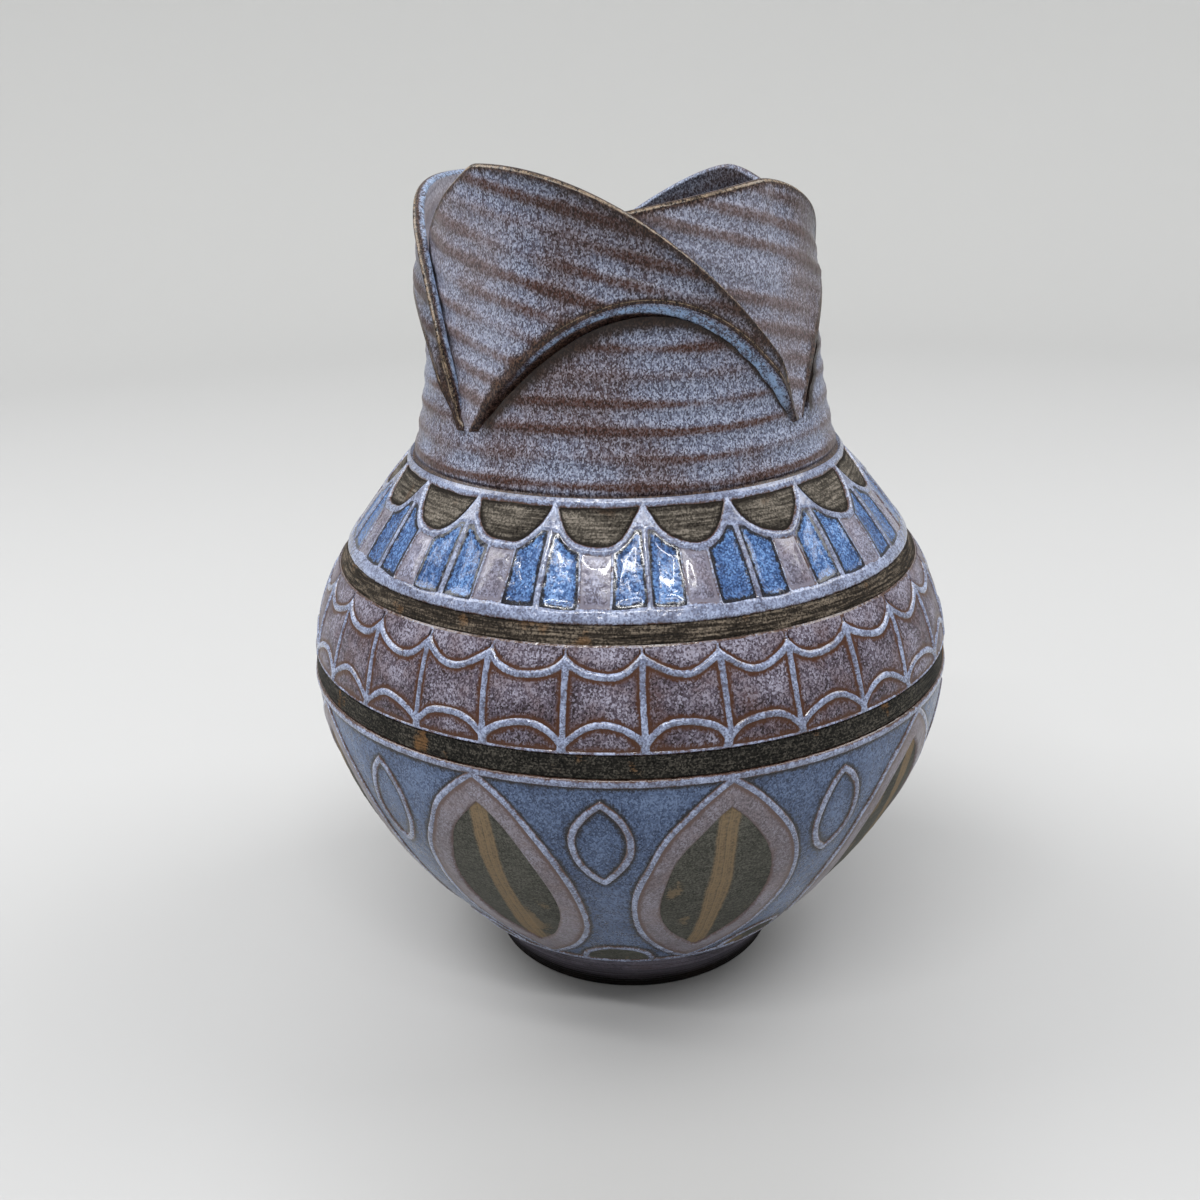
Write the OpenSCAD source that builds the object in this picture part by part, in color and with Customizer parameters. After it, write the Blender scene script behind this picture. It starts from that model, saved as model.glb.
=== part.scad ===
// Thrown stoneware vase with a collar cut into four lapped petals and carved glaze courses.
// Units are millimetres, +Z is up, the foot rests on z = 0 and the front faces -Y.

/* [Foot] */
// Radius of the foot ring where it rests
foot_r = 43; // [36:0.5:52]
// Height of the foot ring
foot_h = 8; // [5:0.5:12]
// Width of the foot ring
foot_w = 8; // [5:0.5:12]
// How much wider the ring is where it meets the bowl
foot_flare = 2.4; // [1:0.2:5]
// Bevel on the two resting edges
foot_bevel = 0.8; // [0.2:0.1:1.5]

/* [Wall] */
// Largest radius of the clay wall
belly_r = 91; // [84:0.5:100]
// Height of the largest radius
belly_z = 95; // [88:0.5:104]
// Height of the shoulder, from the largest radius up to the collar seam
shoulder_h = 58.7; // [54:0.1:66]
// Radius of the wall at the collar seam
neck_r = 59.5; // [56:0.5:63]
// Clay thickness of the bowl and the shoulder
wall = 6; // [4:0.5:8]
// Clay thickness of the floor
floor_t = 8; // [6:0.5:12]
// Upright share of the bowl's curve under the belly
bowl_full = 0.438; // [0.36:0.002:0.5]
// Upright share of the shoulder's curve over the belly
shoulder_full = 0.359; // [0.3:0.001:0.42]
// Outward share of the bowl's curve over the foot
bowl_spread = 0.384; // [0.34:0.002:0.44]
// Upward share of the bowl's curve over the foot
bowl_lift = 0.253; // [0.2:0.001:0.3]
// Outward share of the shoulder's curve under the collar
neck_spread = 0.549; // [0.5:0.001:0.6]
// Downward share of the shoulder's curve under the collar
neck_drop = 0.337; // [0.3:0.001:0.38]

/* [Collar] */
// Radius of the collar under the petals
collar_r = 53; // [51:0.5:55]
// Clay thickness of the collar
collar_wall = 5; // [4:0.5:6]
// Height of the petal posts over the collar seam
post_rise = 13.3; // [11:0.1:18]
// Height of the collar's lower bend over the seam
collar_bend = 8.5; // [6:0.5:11]
// Height over the seam from which the collar turns upright
collar_set = 25.3; // [20:0.1:30]
// Share of the collar's taper that its lower bend takes
collar_taper = 0.4; // [0.3:0.05:0.5]

/* [Petals] */
// Share of the span that is tucked behind the petal on the left
tuck = 0.57; // [0.42:0.03:0.6]
// Place of a tucked edge, as a share of the way from the collar's cut edge to the rim that covers it
slit_share = 0.4; // [0.3:0.05:0.6]
// Height of the petal tip over the post
tip_rise = 6; // [5:0.5:8]
// Height of the cut arch over the post
arch_rise = 32.6; // [26:0.2:38]
// How far the top of the arch is moved along the span, where 1 is the middle
arch_skew = 1.12; // [1:0.02:1.2]
// How pointed the arch is, where less is fuller
arch_point = 0.76; // [0.6:0.02:1]
// Thickness of a petal at its lip
petal_wall = 3.4; // [2.8:0.1:3.6]
// Thickness of a petal at its rim
rim_wall = 2.4; // [1.8:0.1:3]
// Least height of a petal between its lip and its rim
edge_min = 1.5; // [1:0.1:3]
// Radius the petals settle to at the top
crown_r = 49.6; // [48:0.2:52]
// Height over which the petals settle to that radius
settle_h = 27; // [20:0.5:35]
// Sideways lean of the crown at the top of the front petal
crown_lean = 1.5; // [0:0.1:2]
// Step outwards over one span, so that each petal laps over the next
lap = 3.9; // [3.8:0.1:5]
// How far the lip curls out over the arch
lip_curl = 1.5; // [0.5:0.1:2.5]
// Height of the curl over the lip
curl_h = 8; // [5:0.5:12]
// Depth of the bevelled cut under the lip
lip_bevel = 3.2; // [2:0.1:4]

/* [Front petal] */
// Azimuth of its post, from the front
front_az = -47; // [-60:1:-35]
// Height of its rim over the post
front_rise = 63.8; // [52:0.1:72]
// Place of its highest point from the post, as a share of its span
front_peak = 0.05; // [-0.15:0.01:0.15]
// How far its rim would drop along one span of the tucked side
front_drop = 60; // [5:1:70]
// How late its rim falls to the tip, where more is later
front_fall = 2.2; // [1.4:0.05:4]

/* [Right petal] */
// Azimuth of its post, from the front
right_az = 51; // [40:1:62]
// Height of its rim over the post
right_rise = 58.6; // [52:0.1:72]
// Place of its highest point from the post, as a share of its span
right_peak = -0.08; // [-0.15:0.01:0.15]
// How far its rim would drop along one span of the tucked side
right_drop = 13; // [5:1:70]
// How late its rim falls to the tip, where more is later
right_fall = 1.75; // [1.4:0.05:4]

/* [Back petal] */
// Azimuth of its post, from the front
back_az = 138; // [126:1:150]
// Height of its rim over the post
back_rise = 59.5; // [52:0.1:72]
// Place of its highest point from the post, as a share of its span
back_peak = -0.02; // [-0.15:0.01:0.15]
// How far its rim would drop along one span of the tucked side
back_drop = 30; // [5:1:70]
// How late its rim falls to the tip, where more is later
back_fall = 1.6; // [1.4:0.05:4]

/* [Left petal] */
// Azimuth of its post, from the front
left_az = 225; // [212:1:238]
// Height of its rim over the post
left_rise = 60.5; // [52:0.1:72]
// Place of its highest point from the post, as a share of its span
left_peak = -0.02; // [-0.15:0.01:0.15]
// How far its rim would drop along one span of the tucked side
left_drop = 30; // [5:1:70]
// How late its rim falls to the tip, where more is later
left_fall = 3.8; // [1.4:0.05:4]

/* [Courses] */
// Height of the glaze skirt between the foot and the frieze
skirt_h = 9; // [6:0.5:12]
// Height of the dark band at the belly
lower_band_h = 6; // [4:0.1:8]
// Height of the scallop course
scallop_h = 23.9; // [20:0.1:26]
// Height of the dark band under the windows
upper_band_h = 4.1; // [3:0.1:6]
// Bare ledge left under the collar seam
ledge = 0.8; // [0.4:0.1:1.5]
// Relief of the raised lines over the clay
line_t = 1; // [0.8:0.05:1.4]
// Width of the raised lines
line_w = 2.4; // [1.8:0.1:3]
// Thickness of pooled glaze
glaze_t = 0.6; // [0.4:0.05:0.75]
// Thickness of the thick lilac glaze
lilac_t = 0.75; // [0.5:0.05:0.8]
// Thickness of the dark slip
slip_t = 0.4; // [0.25:0.05:0.6]

/* [Windows] */
// Number of window bays
bays = 18; // [14:1:20]
// Azimuth of one divider
bay_az = 2.5; // [-10:0.5:10]
// Height of the dark lunettes
lunette_h = 7.4; // [6:0.1:9]
// Height of the strip under the panes
sill_h = 3.4; // [2.4:0.1:5]
// Height of the panes' outer corners over the lowest point of the lunettes
pane_lift = 2; // [1:0.5:4]
// Share of a bay that the middle panel takes
panel_share = 0.31; // [0.24:0.01:0.36]

/* [Scallops] */
// Number of scallop bays
scallops = 29; // [24:1:32]
// Azimuth of one bar
scallop_az = 0.8; // [-6:0.2:6]
// Sag of the scallop lines
sag = 4.4; // [3:0.1:6]

/* [Leaf frieze] */
// Number of leaves
leaves = 9; // [7:1:9]
// Azimuth of one leaf
leaf_az = 14; // [-20:1:20]
// Half width of a leaf inside its line
leaf_half = 19; // [15:0.5:21]
// Width of the lilac margin inside the line
margin = 5.5; // [4:0.5:8]
// Half width of the almond loops between the leaves
loop_half = 5.5; // [4:0.5:7]
// Half height of the almond loops
loop_tall = 11; // [9:0.5:14]
// Drop of the middle of the loops under the top border
loop_drop = 17; // [15:0.5:22]
// Gap from the tip of a leaf to the borders
leaf_gap = 1; // [0.5:0.1:3]
// Radius of the half rounds on the base line
round_r = 8; // [6:0.5:9]

/* [Hidden] */
$fn = 96;
// Clearance between the collar's cut edge and the lips
fit = 0.2;
// Straight pieces in each curve of the profile
curve_n = 12;
// Height over which the wall's slope is taken
slope_h = 2;
// Room that a cutter has outside the wall
cut_room = 8;
// Level thickness of the liner on the leaning wall, over its true thickness
liner_spread = 1.3;
// Rounding of a rim's highest point and half width of a post, as shares of the span
peak_round = 0.04;
post_half = 0.029;
// Steps of a petal along its span, its rows of facets, and steps of the collar's cut edge
petal_step = 0.03;
petal_rows = 9;
notch_step = 0.05;
shoulder_z = belly_z + shoulder_h;
post_z = shoulder_z + post_rise;
seam_z = belly_z + lower_band_h / 2;
floor_z = foot_h + floor_t;
base_z = foot_h + skirt_h;
scallop_z = belly_z + lower_band_h;
upper_z = scallop_z + scallop_h;
arcade_z = upper_z + upper_band_h;
arcade_top = shoulder_z - ledge;
pane_z = arcade_z + sill_h;
lunette_z = arcade_top - line_w / 2;
reach = belly_r + cut_room;
foot_top_r = foot_r + foot_flare;
post_az = [front_az, right_az, back_az, left_az];
petal_rise = [front_rise, right_rise, back_rise, left_rise];
petal_peak = [front_peak, right_peak, back_peak, left_peak];
tuck_drop = [front_drop, right_drop, back_drop, left_drop];
fall_power = [front_fall, right_fall, back_fall, left_fall];

// Third-degree curve through four control points
function bezier(p, t) =
    pow(1 - t, 3) * p[0] + 3 * pow(1 - t, 2) * t * p[1] + 3 * (1 - t) * t * t * p[2] + pow(t, 3) * p[3];

// Control points of the wall's outside, as radius and height
bowl_curve = [
    [foot_top_r, foot_h],
    [foot_top_r + bowl_spread * (belly_r - foot_top_r), foot_h + bowl_lift * (belly_z - foot_h)],
    [belly_r, belly_z - bowl_full * (belly_z - foot_h)],
    [belly_r, belly_z]];
shoulder_curve = [
    [belly_r, belly_z],
    [belly_r, belly_z + shoulder_full * shoulder_h],
    [neck_r + neck_spread * (belly_r - neck_r), shoulder_z - neck_drop * shoulder_h],
    [neck_r, shoulder_z]];
collar_curve = [
    [neck_r, shoulder_z],
    [neck_r - collar_taper * (neck_r - collar_r), shoulder_z + collar_bend],
    [collar_r, shoulder_z + collar_set],
    [collar_r, post_z + arch_rise]];

// Height to radius tables, which the wall, the coats and the liner all read
wall_table = concat(
    [for (i = [0 : curve_n]) let (p = bezier(bowl_curve, i / curve_n)) [p[1], p[0]]],
    [for (i = [1 : curve_n]) let (p = bezier(shoulder_curve, i / curve_n)) [p[1], p[0]]]);
collar_table = [for (i = [0 : curve_n]) let (p = bezier(collar_curve, i / curve_n)) [p[1], p[0]]];

function wall_r(z) = lookup(z, wall_table);
function collar_out(z) = lookup(z, collar_table);
function slope(z) =
    let (over = min(z + slope_h / 2, shoulder_z), under = max(z - slope_h / 2, foot_h))
    (wall_r(over) - wall_r(under)) / (over - under);

// Heights of the wall's corner points between two heights, with both ends
function levels(z0, z1) =
    concat([z0], [for (p = wall_table) if (p[0] > z0 + fit / 4 && p[0] < z1 - fit / 4) p[0]], [z1]);

// Point on the wall's outside, lifted by t along its normal
function on_wall(z, t) =
    let (m = slope(z), n = sqrt(1 + m * m)) [wall_r(z) + t / n, z - t * m / n];

// Inside of the bowl and the shoulder
function inner_r(z) = wall_r(z) - wall * sqrt(1 + pow(slope(z), 2));

function reversed(list) = [for (i = [len(list) - 1 : -1 : 0]) list[i]];

// Layer of even thickness on the wall's outside, all round or over one turn centred on the front
module skin(z0, z1, t, turn = 360) {
    z = levels(z0, z1);
    rotate([0, 0, -90 - turn / 2])
        rotate_extrude(angle = turn)
            polygon(concat([for (h = z) on_wall(h, t)], [for (h = reversed(z)) [wall_r(h), h]]));
}

// Cutter that carries an outline of x and z radially through the wall at an azimuth
module stencil(az, from_r) {
    rotate([0, 0, az])
        translate([0, -from_r, 0])
            rotate([90, 0, 0])
                linear_extrude(reach - from_r)
                    children();
}

// Pointed almond between two circles, from its half width and its circle radius
module almond(half, circle_r, z) {
    translate([0, z])
        intersection() {
            translate([circle_r - half, 0])
                circle(circle_r);
            translate([half - circle_r, 0])
                circle(circle_r);
        }
}

module foot_ring() {
    color([0.16, 0.15, 0.14])
        rotate_extrude()
            polygon([
                [foot_r - foot_w, foot_bevel],
                [foot_r - foot_w + foot_bevel, 0],
                [foot_r - foot_bevel, 0],
                [foot_r, foot_bevel],
                [foot_top_r, foot_h],
                [foot_r - foot_w - foot_flare / 2, foot_h]]);
}

module bowl() {
    z = levels(foot_h, seam_z);
    inside = [for (h = levels(floor_z, seam_z)) [inner_r(h), h]];
    color([0.36, 0.33, 0.31])
        rotate_extrude()
            polygon(concat(
                [[0, foot_h]],
                [for (h = z) [wall_r(h), h]],
                reversed(inside),
                [[0, floor_z]]));
}

module shoulder() {
    z = levels(seam_z, shoulder_z);
    color([0.36, 0.33, 0.31])
        rotate_extrude()
            polygon(concat([for (h = z) [wall_r(h), h]], [for (h = reversed(z)) [inner_r(h), h]]));
}

module liner_glaze() {
    inside = [for (h = levels(floor_z, shoulder_z)) [inner_r(h), h]];
    face = concat(
        [[0, floor_z + glaze_t]],
        [for (p = inside) [p[0] - glaze_t * liner_spread, max(p[1], floor_z + glaze_t)]]);
    color([0.30, 0.33, 0.42])
        rotate_extrude()
            polygon(concat([[0, floor_z]], inside, reversed(face)));
}

// Share of a petal's span where the cut arch starts and ends
arch_from = 0.025;
arch_to = 0.975;

function span(i) = (i < 3 ? post_az[i + 1] : post_az[0] + 360) - post_az[i];

function arch_z(s) =
    let (q = min(1, max(0, (s - arch_from) / (arch_to - arch_from))))
    post_z + arch_rise * pow(max(0, sin(180 * pow(q, arch_skew))), arch_point);

// Upper edge of a petal along its span, rising over the tucked side and falling to the tip
function rim_z(i, s) =
    let (d = s - petal_peak[i], fall = petal_rise[i] - tip_rise)
    post_z + petal_rise[i] - (d > 0
        ? fall * pow(d / (1 - petal_peak[i]), fall_power[i])
        : tuck_drop[i] * (sqrt(d * d + peak_round * peak_round) - peak_round));

// Lower edge of the tucked side of a petal, between the collar's cut edge and the rim that covers it
function slit_z(i, s) =
    let (j = (i + 3) % 4, q = 1 + s * span(i) / span(j), seat = seat_z(q))
    seat + slit_share * (min(rim_z(j, q), rim_z(i, s)) - seat);

// Lower edge of a petal: the slit, then the post, then the cut arch
function low_z(i, s) =
    s < -post_half ? slit_z(i, s)
    : s < post_half ? post_z : min(arch_z(s), rim_z(i, s) - edge_min);

// Outside radius of a petal, with the lap outwards along the span and the curled lip
function petal_r(i, s, z) =
    crown_r + (collar_out(post_z) - crown_r) * exp(-(z - post_z) / settle_h)
    + lap * s
    + lip_curl * sin(180 * min(1, max(0, s))) * exp(-pow((z - low_z(i, s)) / curl_h, 2));

function petal_point(i, s, r, z) =
    let (a = post_az[i] + s * span(i))
    [r * sin(a) - crown_lean * (z - post_z) / front_rise, -r * cos(a), z];

module petal(i) {
    na = round((1 - petal_step / 3 + tuck) / petal_step);
    nb = petal_rows;
    row = nb + 1;
    half = (na + 1) * row;
    outside = [for (a = [0 : na], b = [0 : nb])
        let (s = -tuck + a * petal_step, z = low_z(i, s) + (rim_z(i, s) - low_z(i, s)) * b / nb)
        petal_point(i, s, petal_r(i, s, z), z)];
    inside = [for (a = [0 : na], b = [0 : nb])
        let (s = -tuck + a * petal_step,
             v = b / nb,
             z = low_z(i, s) + (rim_z(i, s) - low_z(i, s)) * v,
             t = petal_wall + (rim_wall - petal_wall) * v,
             down = lip_bevel * sin(180 * min(1, max(0, s))) * pow(1 - v, 3))
        petal_point(i, s, petal_r(i, s, z) - t, z - down)];
    faces = concat(
        [for (a = [0 : na - 1], b = [0 : nb - 1]) let (p = a * row + b)
            each [[p, p + 1, p + row + 1], [p, p + row + 1, p + row]]],
        [for (a = [0 : na - 1], b = [0 : nb - 1]) let (p = half + a * row + b)
            each [[p, p + row, p + row + 1], [p, p + row + 1, p + 1]]],
        [for (a = [0 : na - 1]) let (p = a * row)
            each [[p, p + row, half + p + row], [p, half + p + row, half + p]]],
        [for (a = [0 : na - 1]) let (p = a * row + nb)
            each [[p + row, p, half + p], [p + row, half + p, half + p + row]]],
        [for (b = [0 : nb - 1])
            each [[b + 1, b, half + b], [b + 1, half + b, half + b + 1]]],
        [for (b = [0 : nb - 1]) let (p = na * row + b)
            each [[p, p + 1, half + p + 1], [p, half + p + 1, half + p]]]);
    polyhedron(points = concat(outside, inside), faces = faces);
}

// Height of the collar's cut edge behind the petal lips
function seat_z(s) = max(post_z, arch_z(s) - lip_bevel - fit);

// Outline cut out of the collar's top edge at a post, from one arch to the next
module notch_face(i) {
    before = span((i + 3) % 4);
    after = span(i);
    ref_r = collar_r - petal_wall / 2;
    shares = [for (q = [0.5 : -notch_step : notch_step]) q];
    left = [for (q = shares) [-ref_r * sin(before * q), seat_z(1 - q)]];
    right = [for (q = reversed(shares)) [ref_r * sin(after * q), seat_z(q)]];
    top = post_z + 2 * arch_rise;
    polygon(concat(
        [[left[0][0] - collar_wall / 2, top], [left[0][0] - collar_wall / 2, left[0][1]]],
        left,
        right,
        [[right[len(right) - 1][0] + collar_wall / 2, right[len(right) - 1][1]],
         [right[len(right) - 1][0] + collar_wall / 2, top]]));
}

module collar() {
    z = [for (p = collar_table) p[0]];
    top = z[len(z) - 1];
    color([0.45, 0.44, 0.50])
        difference() {
            rotate_extrude()
                polygon(concat(
                    [for (h = z) [collar_out(h), h]],
                    [[collar_out(top) - collar_wall, top],
                     [collar_out(post_z) - collar_wall, post_z],
                     [inner_r(shoulder_z), shoulder_z]]));
            for (i = [0 : 3])
                stencil(post_az[i], collar_r / 2)
                    notch_face(i);
        }
}

module petal_front() {
    color([0.47, 0.47, 0.56])
        petal(0);
}

module petal_right() {
    color([0.47, 0.47, 0.56])
        petal(1);
}

module petal_back() {
    color([0.47, 0.47, 0.56])
        petal(2);
}

module petal_left() {
    color([0.47, 0.47, 0.56])
        petal(3);
}

module skirt_glaze() {
    color([0.25, 0.22, 0.21])
        skin(foot_h, base_z, slip_t);
}

module lower_band() {
    color([0.22, 0.22, 0.21])
        skin(belly_z, scallop_z, slip_t);
}

module upper_band() {
    color([0.22, 0.22, 0.21])
        skin(upper_z, arcade_z, slip_t);
}

// Half width of the chord of a lunette, and the circle that carries it
bay = 360 / bays;
chord = wall_r(lunette_z) * sin(bay / 2) - line_w / 2;
lunette_r = (chord * chord + lunette_h * lunette_h) / (2 * lunette_h);
lunette_c = lunette_z - lunette_h + lunette_r;

module lunette_face() {
    intersection() {
        translate([0, lunette_c])
            circle(lunette_r);
        translate([-chord, lunette_z - 2 * lunette_h])
            square([2 * chord, 2 * lunette_h]);
    }
}

// Middle panel of a bay, under its lunette
module panel_face() {
    low = wall_r(pane_z) * sin(panel_share * bay / 2) - line_w / 4;
    high = wall_r(lunette_z) * sin(panel_share * bay / 2) - line_w / 4;
    difference() {
        polygon([[-low, pane_z], [low, pane_z], [high, lunette_z], [-high, lunette_z]]);
        translate([0, lunette_c])
            circle(lunette_r + line_w);
    }
}

// Pane on one side of a bay, between the panel's line and the divider
module pane_face() {
    top = lunette_z - lunette_h + pane_lift;
    low = wall_r(pane_z);
    high = wall_r(top);
    a = panel_share * bay / 2;
    difference() {
        polygon([
            [low * sin(a) + line_w / 4, pane_z],
            [low * sin(bay / 2) - line_w / 2, pane_z],
            [high * sin(bay / 2) - line_w / 2, top],
            [high * sin(a) + line_w / 4, top]]);
        translate([0, lunette_c])
            circle(lunette_r + line_w);
    }
}

module bay_stencils() {
    for (k = [0 : bays - 1])
        stencil(bay_az + (k + 0.5) * bay, neck_r - wall)
            children();
}

module pane_pair() {
    pane_face();
    mirror([1, 0])
        pane_face();
}

module arcade_lines() {
    color([0.62, 0.65, 0.78])
        difference() {
            skin(arcade_z, arcade_top, line_t);
            bay_stencils()
                lunette_face();
            bay_stencils()
                pane_pair();
            bay_stencils()
                panel_face();
        }
}

module arcade_panels() {
    color([0.46, 0.40, 0.50])
        intersection() {
            skin(arcade_z, arcade_top, lilac_t);
            bay_stencils()
                panel_face();
        }
}

module window_panes() {
    color([0.22, 0.35, 0.58])
        intersection() {
            skin(arcade_z, arcade_top, glaze_t);
            bay_stencils()
                pane_pair();
        }
}

module lunettes() {
    color([0.22, 0.23, 0.22])
        intersection() {
            skin(arcade_z, arcade_top, slip_t);
            bay_stencils()
                lunette_face();
        }
}

// Scallop course: hanging arcs over, standing arcs under, bars between
swag = 360 / scallops;
swag_half = wall_r(scallop_z + scallop_h / 2) * sin(swag / 2);
swag_r = (swag_half * swag_half + sag * sag) / (2 * sag);
swag_top = upper_z - line_w;
swag_low = scallop_z + line_w;

// Field between the hanging arc and the band over it
module swag_face() {
    intersection() {
        translate([0, swag_top - sag + swag_r])
            circle(swag_r - line_w / 2);
        translate([-swag_half + line_w / 2, swag_top - 2 * sag])
            square([2 * swag_half - line_w, 2 * sag + line_w / 2]);
    }
}

// Field between the standing arc and the band under it
module arch_face() {
    intersection() {
        translate([0, swag_low + sag - swag_r])
            circle(swag_r - line_w / 2);
        translate([-swag_half + line_w / 2, swag_low - line_w / 2])
            square([2 * swag_half - line_w, 2 * sag + line_w / 2]);
    }
}

// Field between two bars and two arcs
module field_face() {
    low = wall_r(swag_low) * sin(swag / 2) - line_w / 2;
    high = wall_r(swag_top) * sin(swag / 2) - line_w / 2;
    difference() {
        polygon([[-low, swag_low], [low, swag_low], [high, swag_top], [-high, swag_top]]);
        translate([0, swag_top - sag + swag_r])
            circle(swag_r + line_w / 2);
        translate([0, swag_low + sag - swag_r])
            circle(swag_r + line_w / 2);
    }
}

module scallop_fields() {
    for (k = [0 : scallops - 1])
        stencil(scallop_az + (k + 0.5) * swag, neck_r) {
            swag_face();
            arch_face();
            field_face();
        }
}

module scallop_lines() {
    color([0.58, 0.62, 0.76])
        difference() {
            skin(scallop_z, upper_z, line_t);
            scallop_fields();
        }
}

module scallop_panels() {
    color([0.42, 0.36, 0.42])
        intersection() {
            skin(scallop_z, upper_z, glaze_t);
            scallop_fields();
        }
}

// Leaf frieze: upright almonds in lines, with loops and half rounds between them
frieze_top = belly_z - line_w;
frieze_low = base_z + line_w;
leaf_z = (frieze_top + frieze_low) / 2;
leaf_tall = (frieze_top - frieze_low) / 2 - leaf_gap;
leaf_circle = (leaf_half * leaf_half + leaf_tall * leaf_tall) / (2 * leaf_half);
loop_circle = (loop_half * loop_half + loop_tall * loop_tall) / (2 * loop_half);
loop_z = frieze_top - loop_drop;
leaf_step = 360 / leaves;

module leaf_face(grow) {
    almond(leaf_half + grow, leaf_circle + grow, leaf_z);
}

module loop_face(grow) {
    almond(loop_half + grow, loop_circle + grow, loop_z);
}

module half_round_face(grow) {
    intersection() {
        translate([0, frieze_low])
            circle(round_r + grow);
        translate([-2 * round_r, frieze_low - line_w])
            square([4 * round_r, 2 * round_r + line_w]);
    }
}

// One leaf's share of the frieze, cut to an outline and repeated round the bowl
module leaf_ring(shift, t) {
    for (k = [0 : leaves - 1])
        rotate([0, 0, leaf_az + (k + shift) * leaf_step])
            intersection() {
                skin(frieze_low, frieze_top, t, leaf_step);
                stencil(0, foot_r)
                    children();
            }
}

module frieze_borders() {
    color([0.58, 0.62, 0.76]) {
        skin(base_z, frieze_low, line_t);
        skin(frieze_top, belly_z, line_t);
    }
}

module frieze_lines() {
    color([0.58, 0.62, 0.76]) {
        leaf_ring(0, line_t)
            difference() {
                leaf_face(line_w);
                leaf_face(0);
            }
        leaf_ring(0.5, line_t) {
            difference() {
                loop_face(line_w);
                loop_face(0);
            }
            difference() {
                half_round_face(line_w);
                half_round_face(0);
            }
        }
    }
}

module frieze_ground() {
    color([0.30, 0.40, 0.60])
        for (k = [0 : leaves - 1])
            rotate([0, 0, leaf_az + (k + 0.5) * leaf_step])
                difference() {
                    skin(frieze_low, frieze_top, glaze_t, leaf_step);
                    for (side = [-0.5, 0.5])
                        stencil(side * leaf_step, foot_r)
                            leaf_face(line_w);
                    stencil(0, foot_r) {
                        difference() {
                            loop_face(line_w);
                            loop_face(0);
                        }
                        half_round_face(line_w);
                    }
                }
}

module frieze_margins() {
    color([0.60, 0.60, 0.74])
        leaf_ring(0, lilac_t)
            difference() {
                leaf_face(0);
                leaf_face(-margin);
            }
}

module frieze_leaves() {
    color([0.20, 0.20, 0.19]) {
        leaf_ring(0, slip_t)
            leaf_face(-margin);
        leaf_ring(0.5, slip_t)
            half_round_face(0);
    }
}

foot_ring();
bowl();
shoulder();
collar();
petal_front();
petal_right();
petal_back();
petal_left();
liner_glaze();
skirt_glaze();
frieze_borders();
frieze_lines();
frieze_ground();
frieze_margins();
frieze_leaves();
lower_band();
scallop_lines();
scallop_panels();
upper_band();
arcade_lines();
arcade_panels();
window_panes();
lunettes();
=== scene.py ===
"""Dresses the thrown stoneware vase in its glazes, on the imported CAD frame.

Lengths are millimetres in this script and become metres when a mesh is made. Azimuths are degrees from
the front (-Y), growing to the right (+X). A lift is a height over the clay wall, along its normal.
"""

import logging
import math
from dataclasses import dataclass, field
from enum import Enum
from functools import cached_property
from typing import Mapping, Sequence

import bpy
import numpy as np
from mathutils import Euler, Matrix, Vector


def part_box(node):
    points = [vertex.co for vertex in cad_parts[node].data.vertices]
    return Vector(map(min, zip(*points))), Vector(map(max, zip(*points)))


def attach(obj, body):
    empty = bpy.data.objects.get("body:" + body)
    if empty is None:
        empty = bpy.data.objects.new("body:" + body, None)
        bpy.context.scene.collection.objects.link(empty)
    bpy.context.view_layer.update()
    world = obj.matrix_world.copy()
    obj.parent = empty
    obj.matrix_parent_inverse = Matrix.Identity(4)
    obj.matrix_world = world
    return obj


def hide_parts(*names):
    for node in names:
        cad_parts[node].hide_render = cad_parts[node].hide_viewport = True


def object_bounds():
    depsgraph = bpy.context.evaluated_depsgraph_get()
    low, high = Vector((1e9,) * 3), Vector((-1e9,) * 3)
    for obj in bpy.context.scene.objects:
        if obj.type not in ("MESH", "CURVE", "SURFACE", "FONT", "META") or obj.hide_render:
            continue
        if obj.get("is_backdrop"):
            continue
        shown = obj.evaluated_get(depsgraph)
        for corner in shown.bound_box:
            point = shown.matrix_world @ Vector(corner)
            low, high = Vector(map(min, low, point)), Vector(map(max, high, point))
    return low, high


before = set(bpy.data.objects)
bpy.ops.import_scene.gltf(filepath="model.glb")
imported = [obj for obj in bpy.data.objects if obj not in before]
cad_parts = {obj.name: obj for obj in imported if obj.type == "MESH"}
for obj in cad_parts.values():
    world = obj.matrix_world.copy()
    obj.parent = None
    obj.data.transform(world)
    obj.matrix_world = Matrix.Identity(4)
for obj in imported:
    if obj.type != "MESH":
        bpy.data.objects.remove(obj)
CAD_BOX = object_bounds()

LOG = logging.getLogger("vase")
MM = 0.001
IMAGE_PX = 1200
SHARP = 55.0  # degrees over which an edge stays crisp
SHARP_FOOT = 35.0
SHARP_PETAL = 70.0
RING_BACK = -0.3  # lifts of the hidden backs of rings and patches, let into the wall
PATCH_BACK = -0.2
BACK_ROWS = 6

Array = np.ndarray
Colour = tuple[int, int, int]
Node = bpy.types.Node
Socket = bpy.types.NodeSocket


def ease(value: Array, low: float, high: float) -> Array:
    """Smooth step: 0 under low, 1 over high, and 3q^2 - 2q^3 of the share q between them."""
    q = np.clip((value - low) / (high - low), 0.0, 1.0)
    return q * q * (3.0 - 2.0 * q)


def shares(count: int) -> Array:
    """Even shares from 0 to 1, as a column."""
    return np.linspace(0.0, 1.0, count)[:, None]


def azimuths(count: int) -> Array:
    """Even azimuths all round, as a row."""
    return np.arange(count)[None, :] * 360.0 / count


def pairs(radius: Array, z: Array) -> Array:
    """Corner points of a section, each a radius and a height."""
    return np.stack([radius, z], axis=-1)


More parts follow.
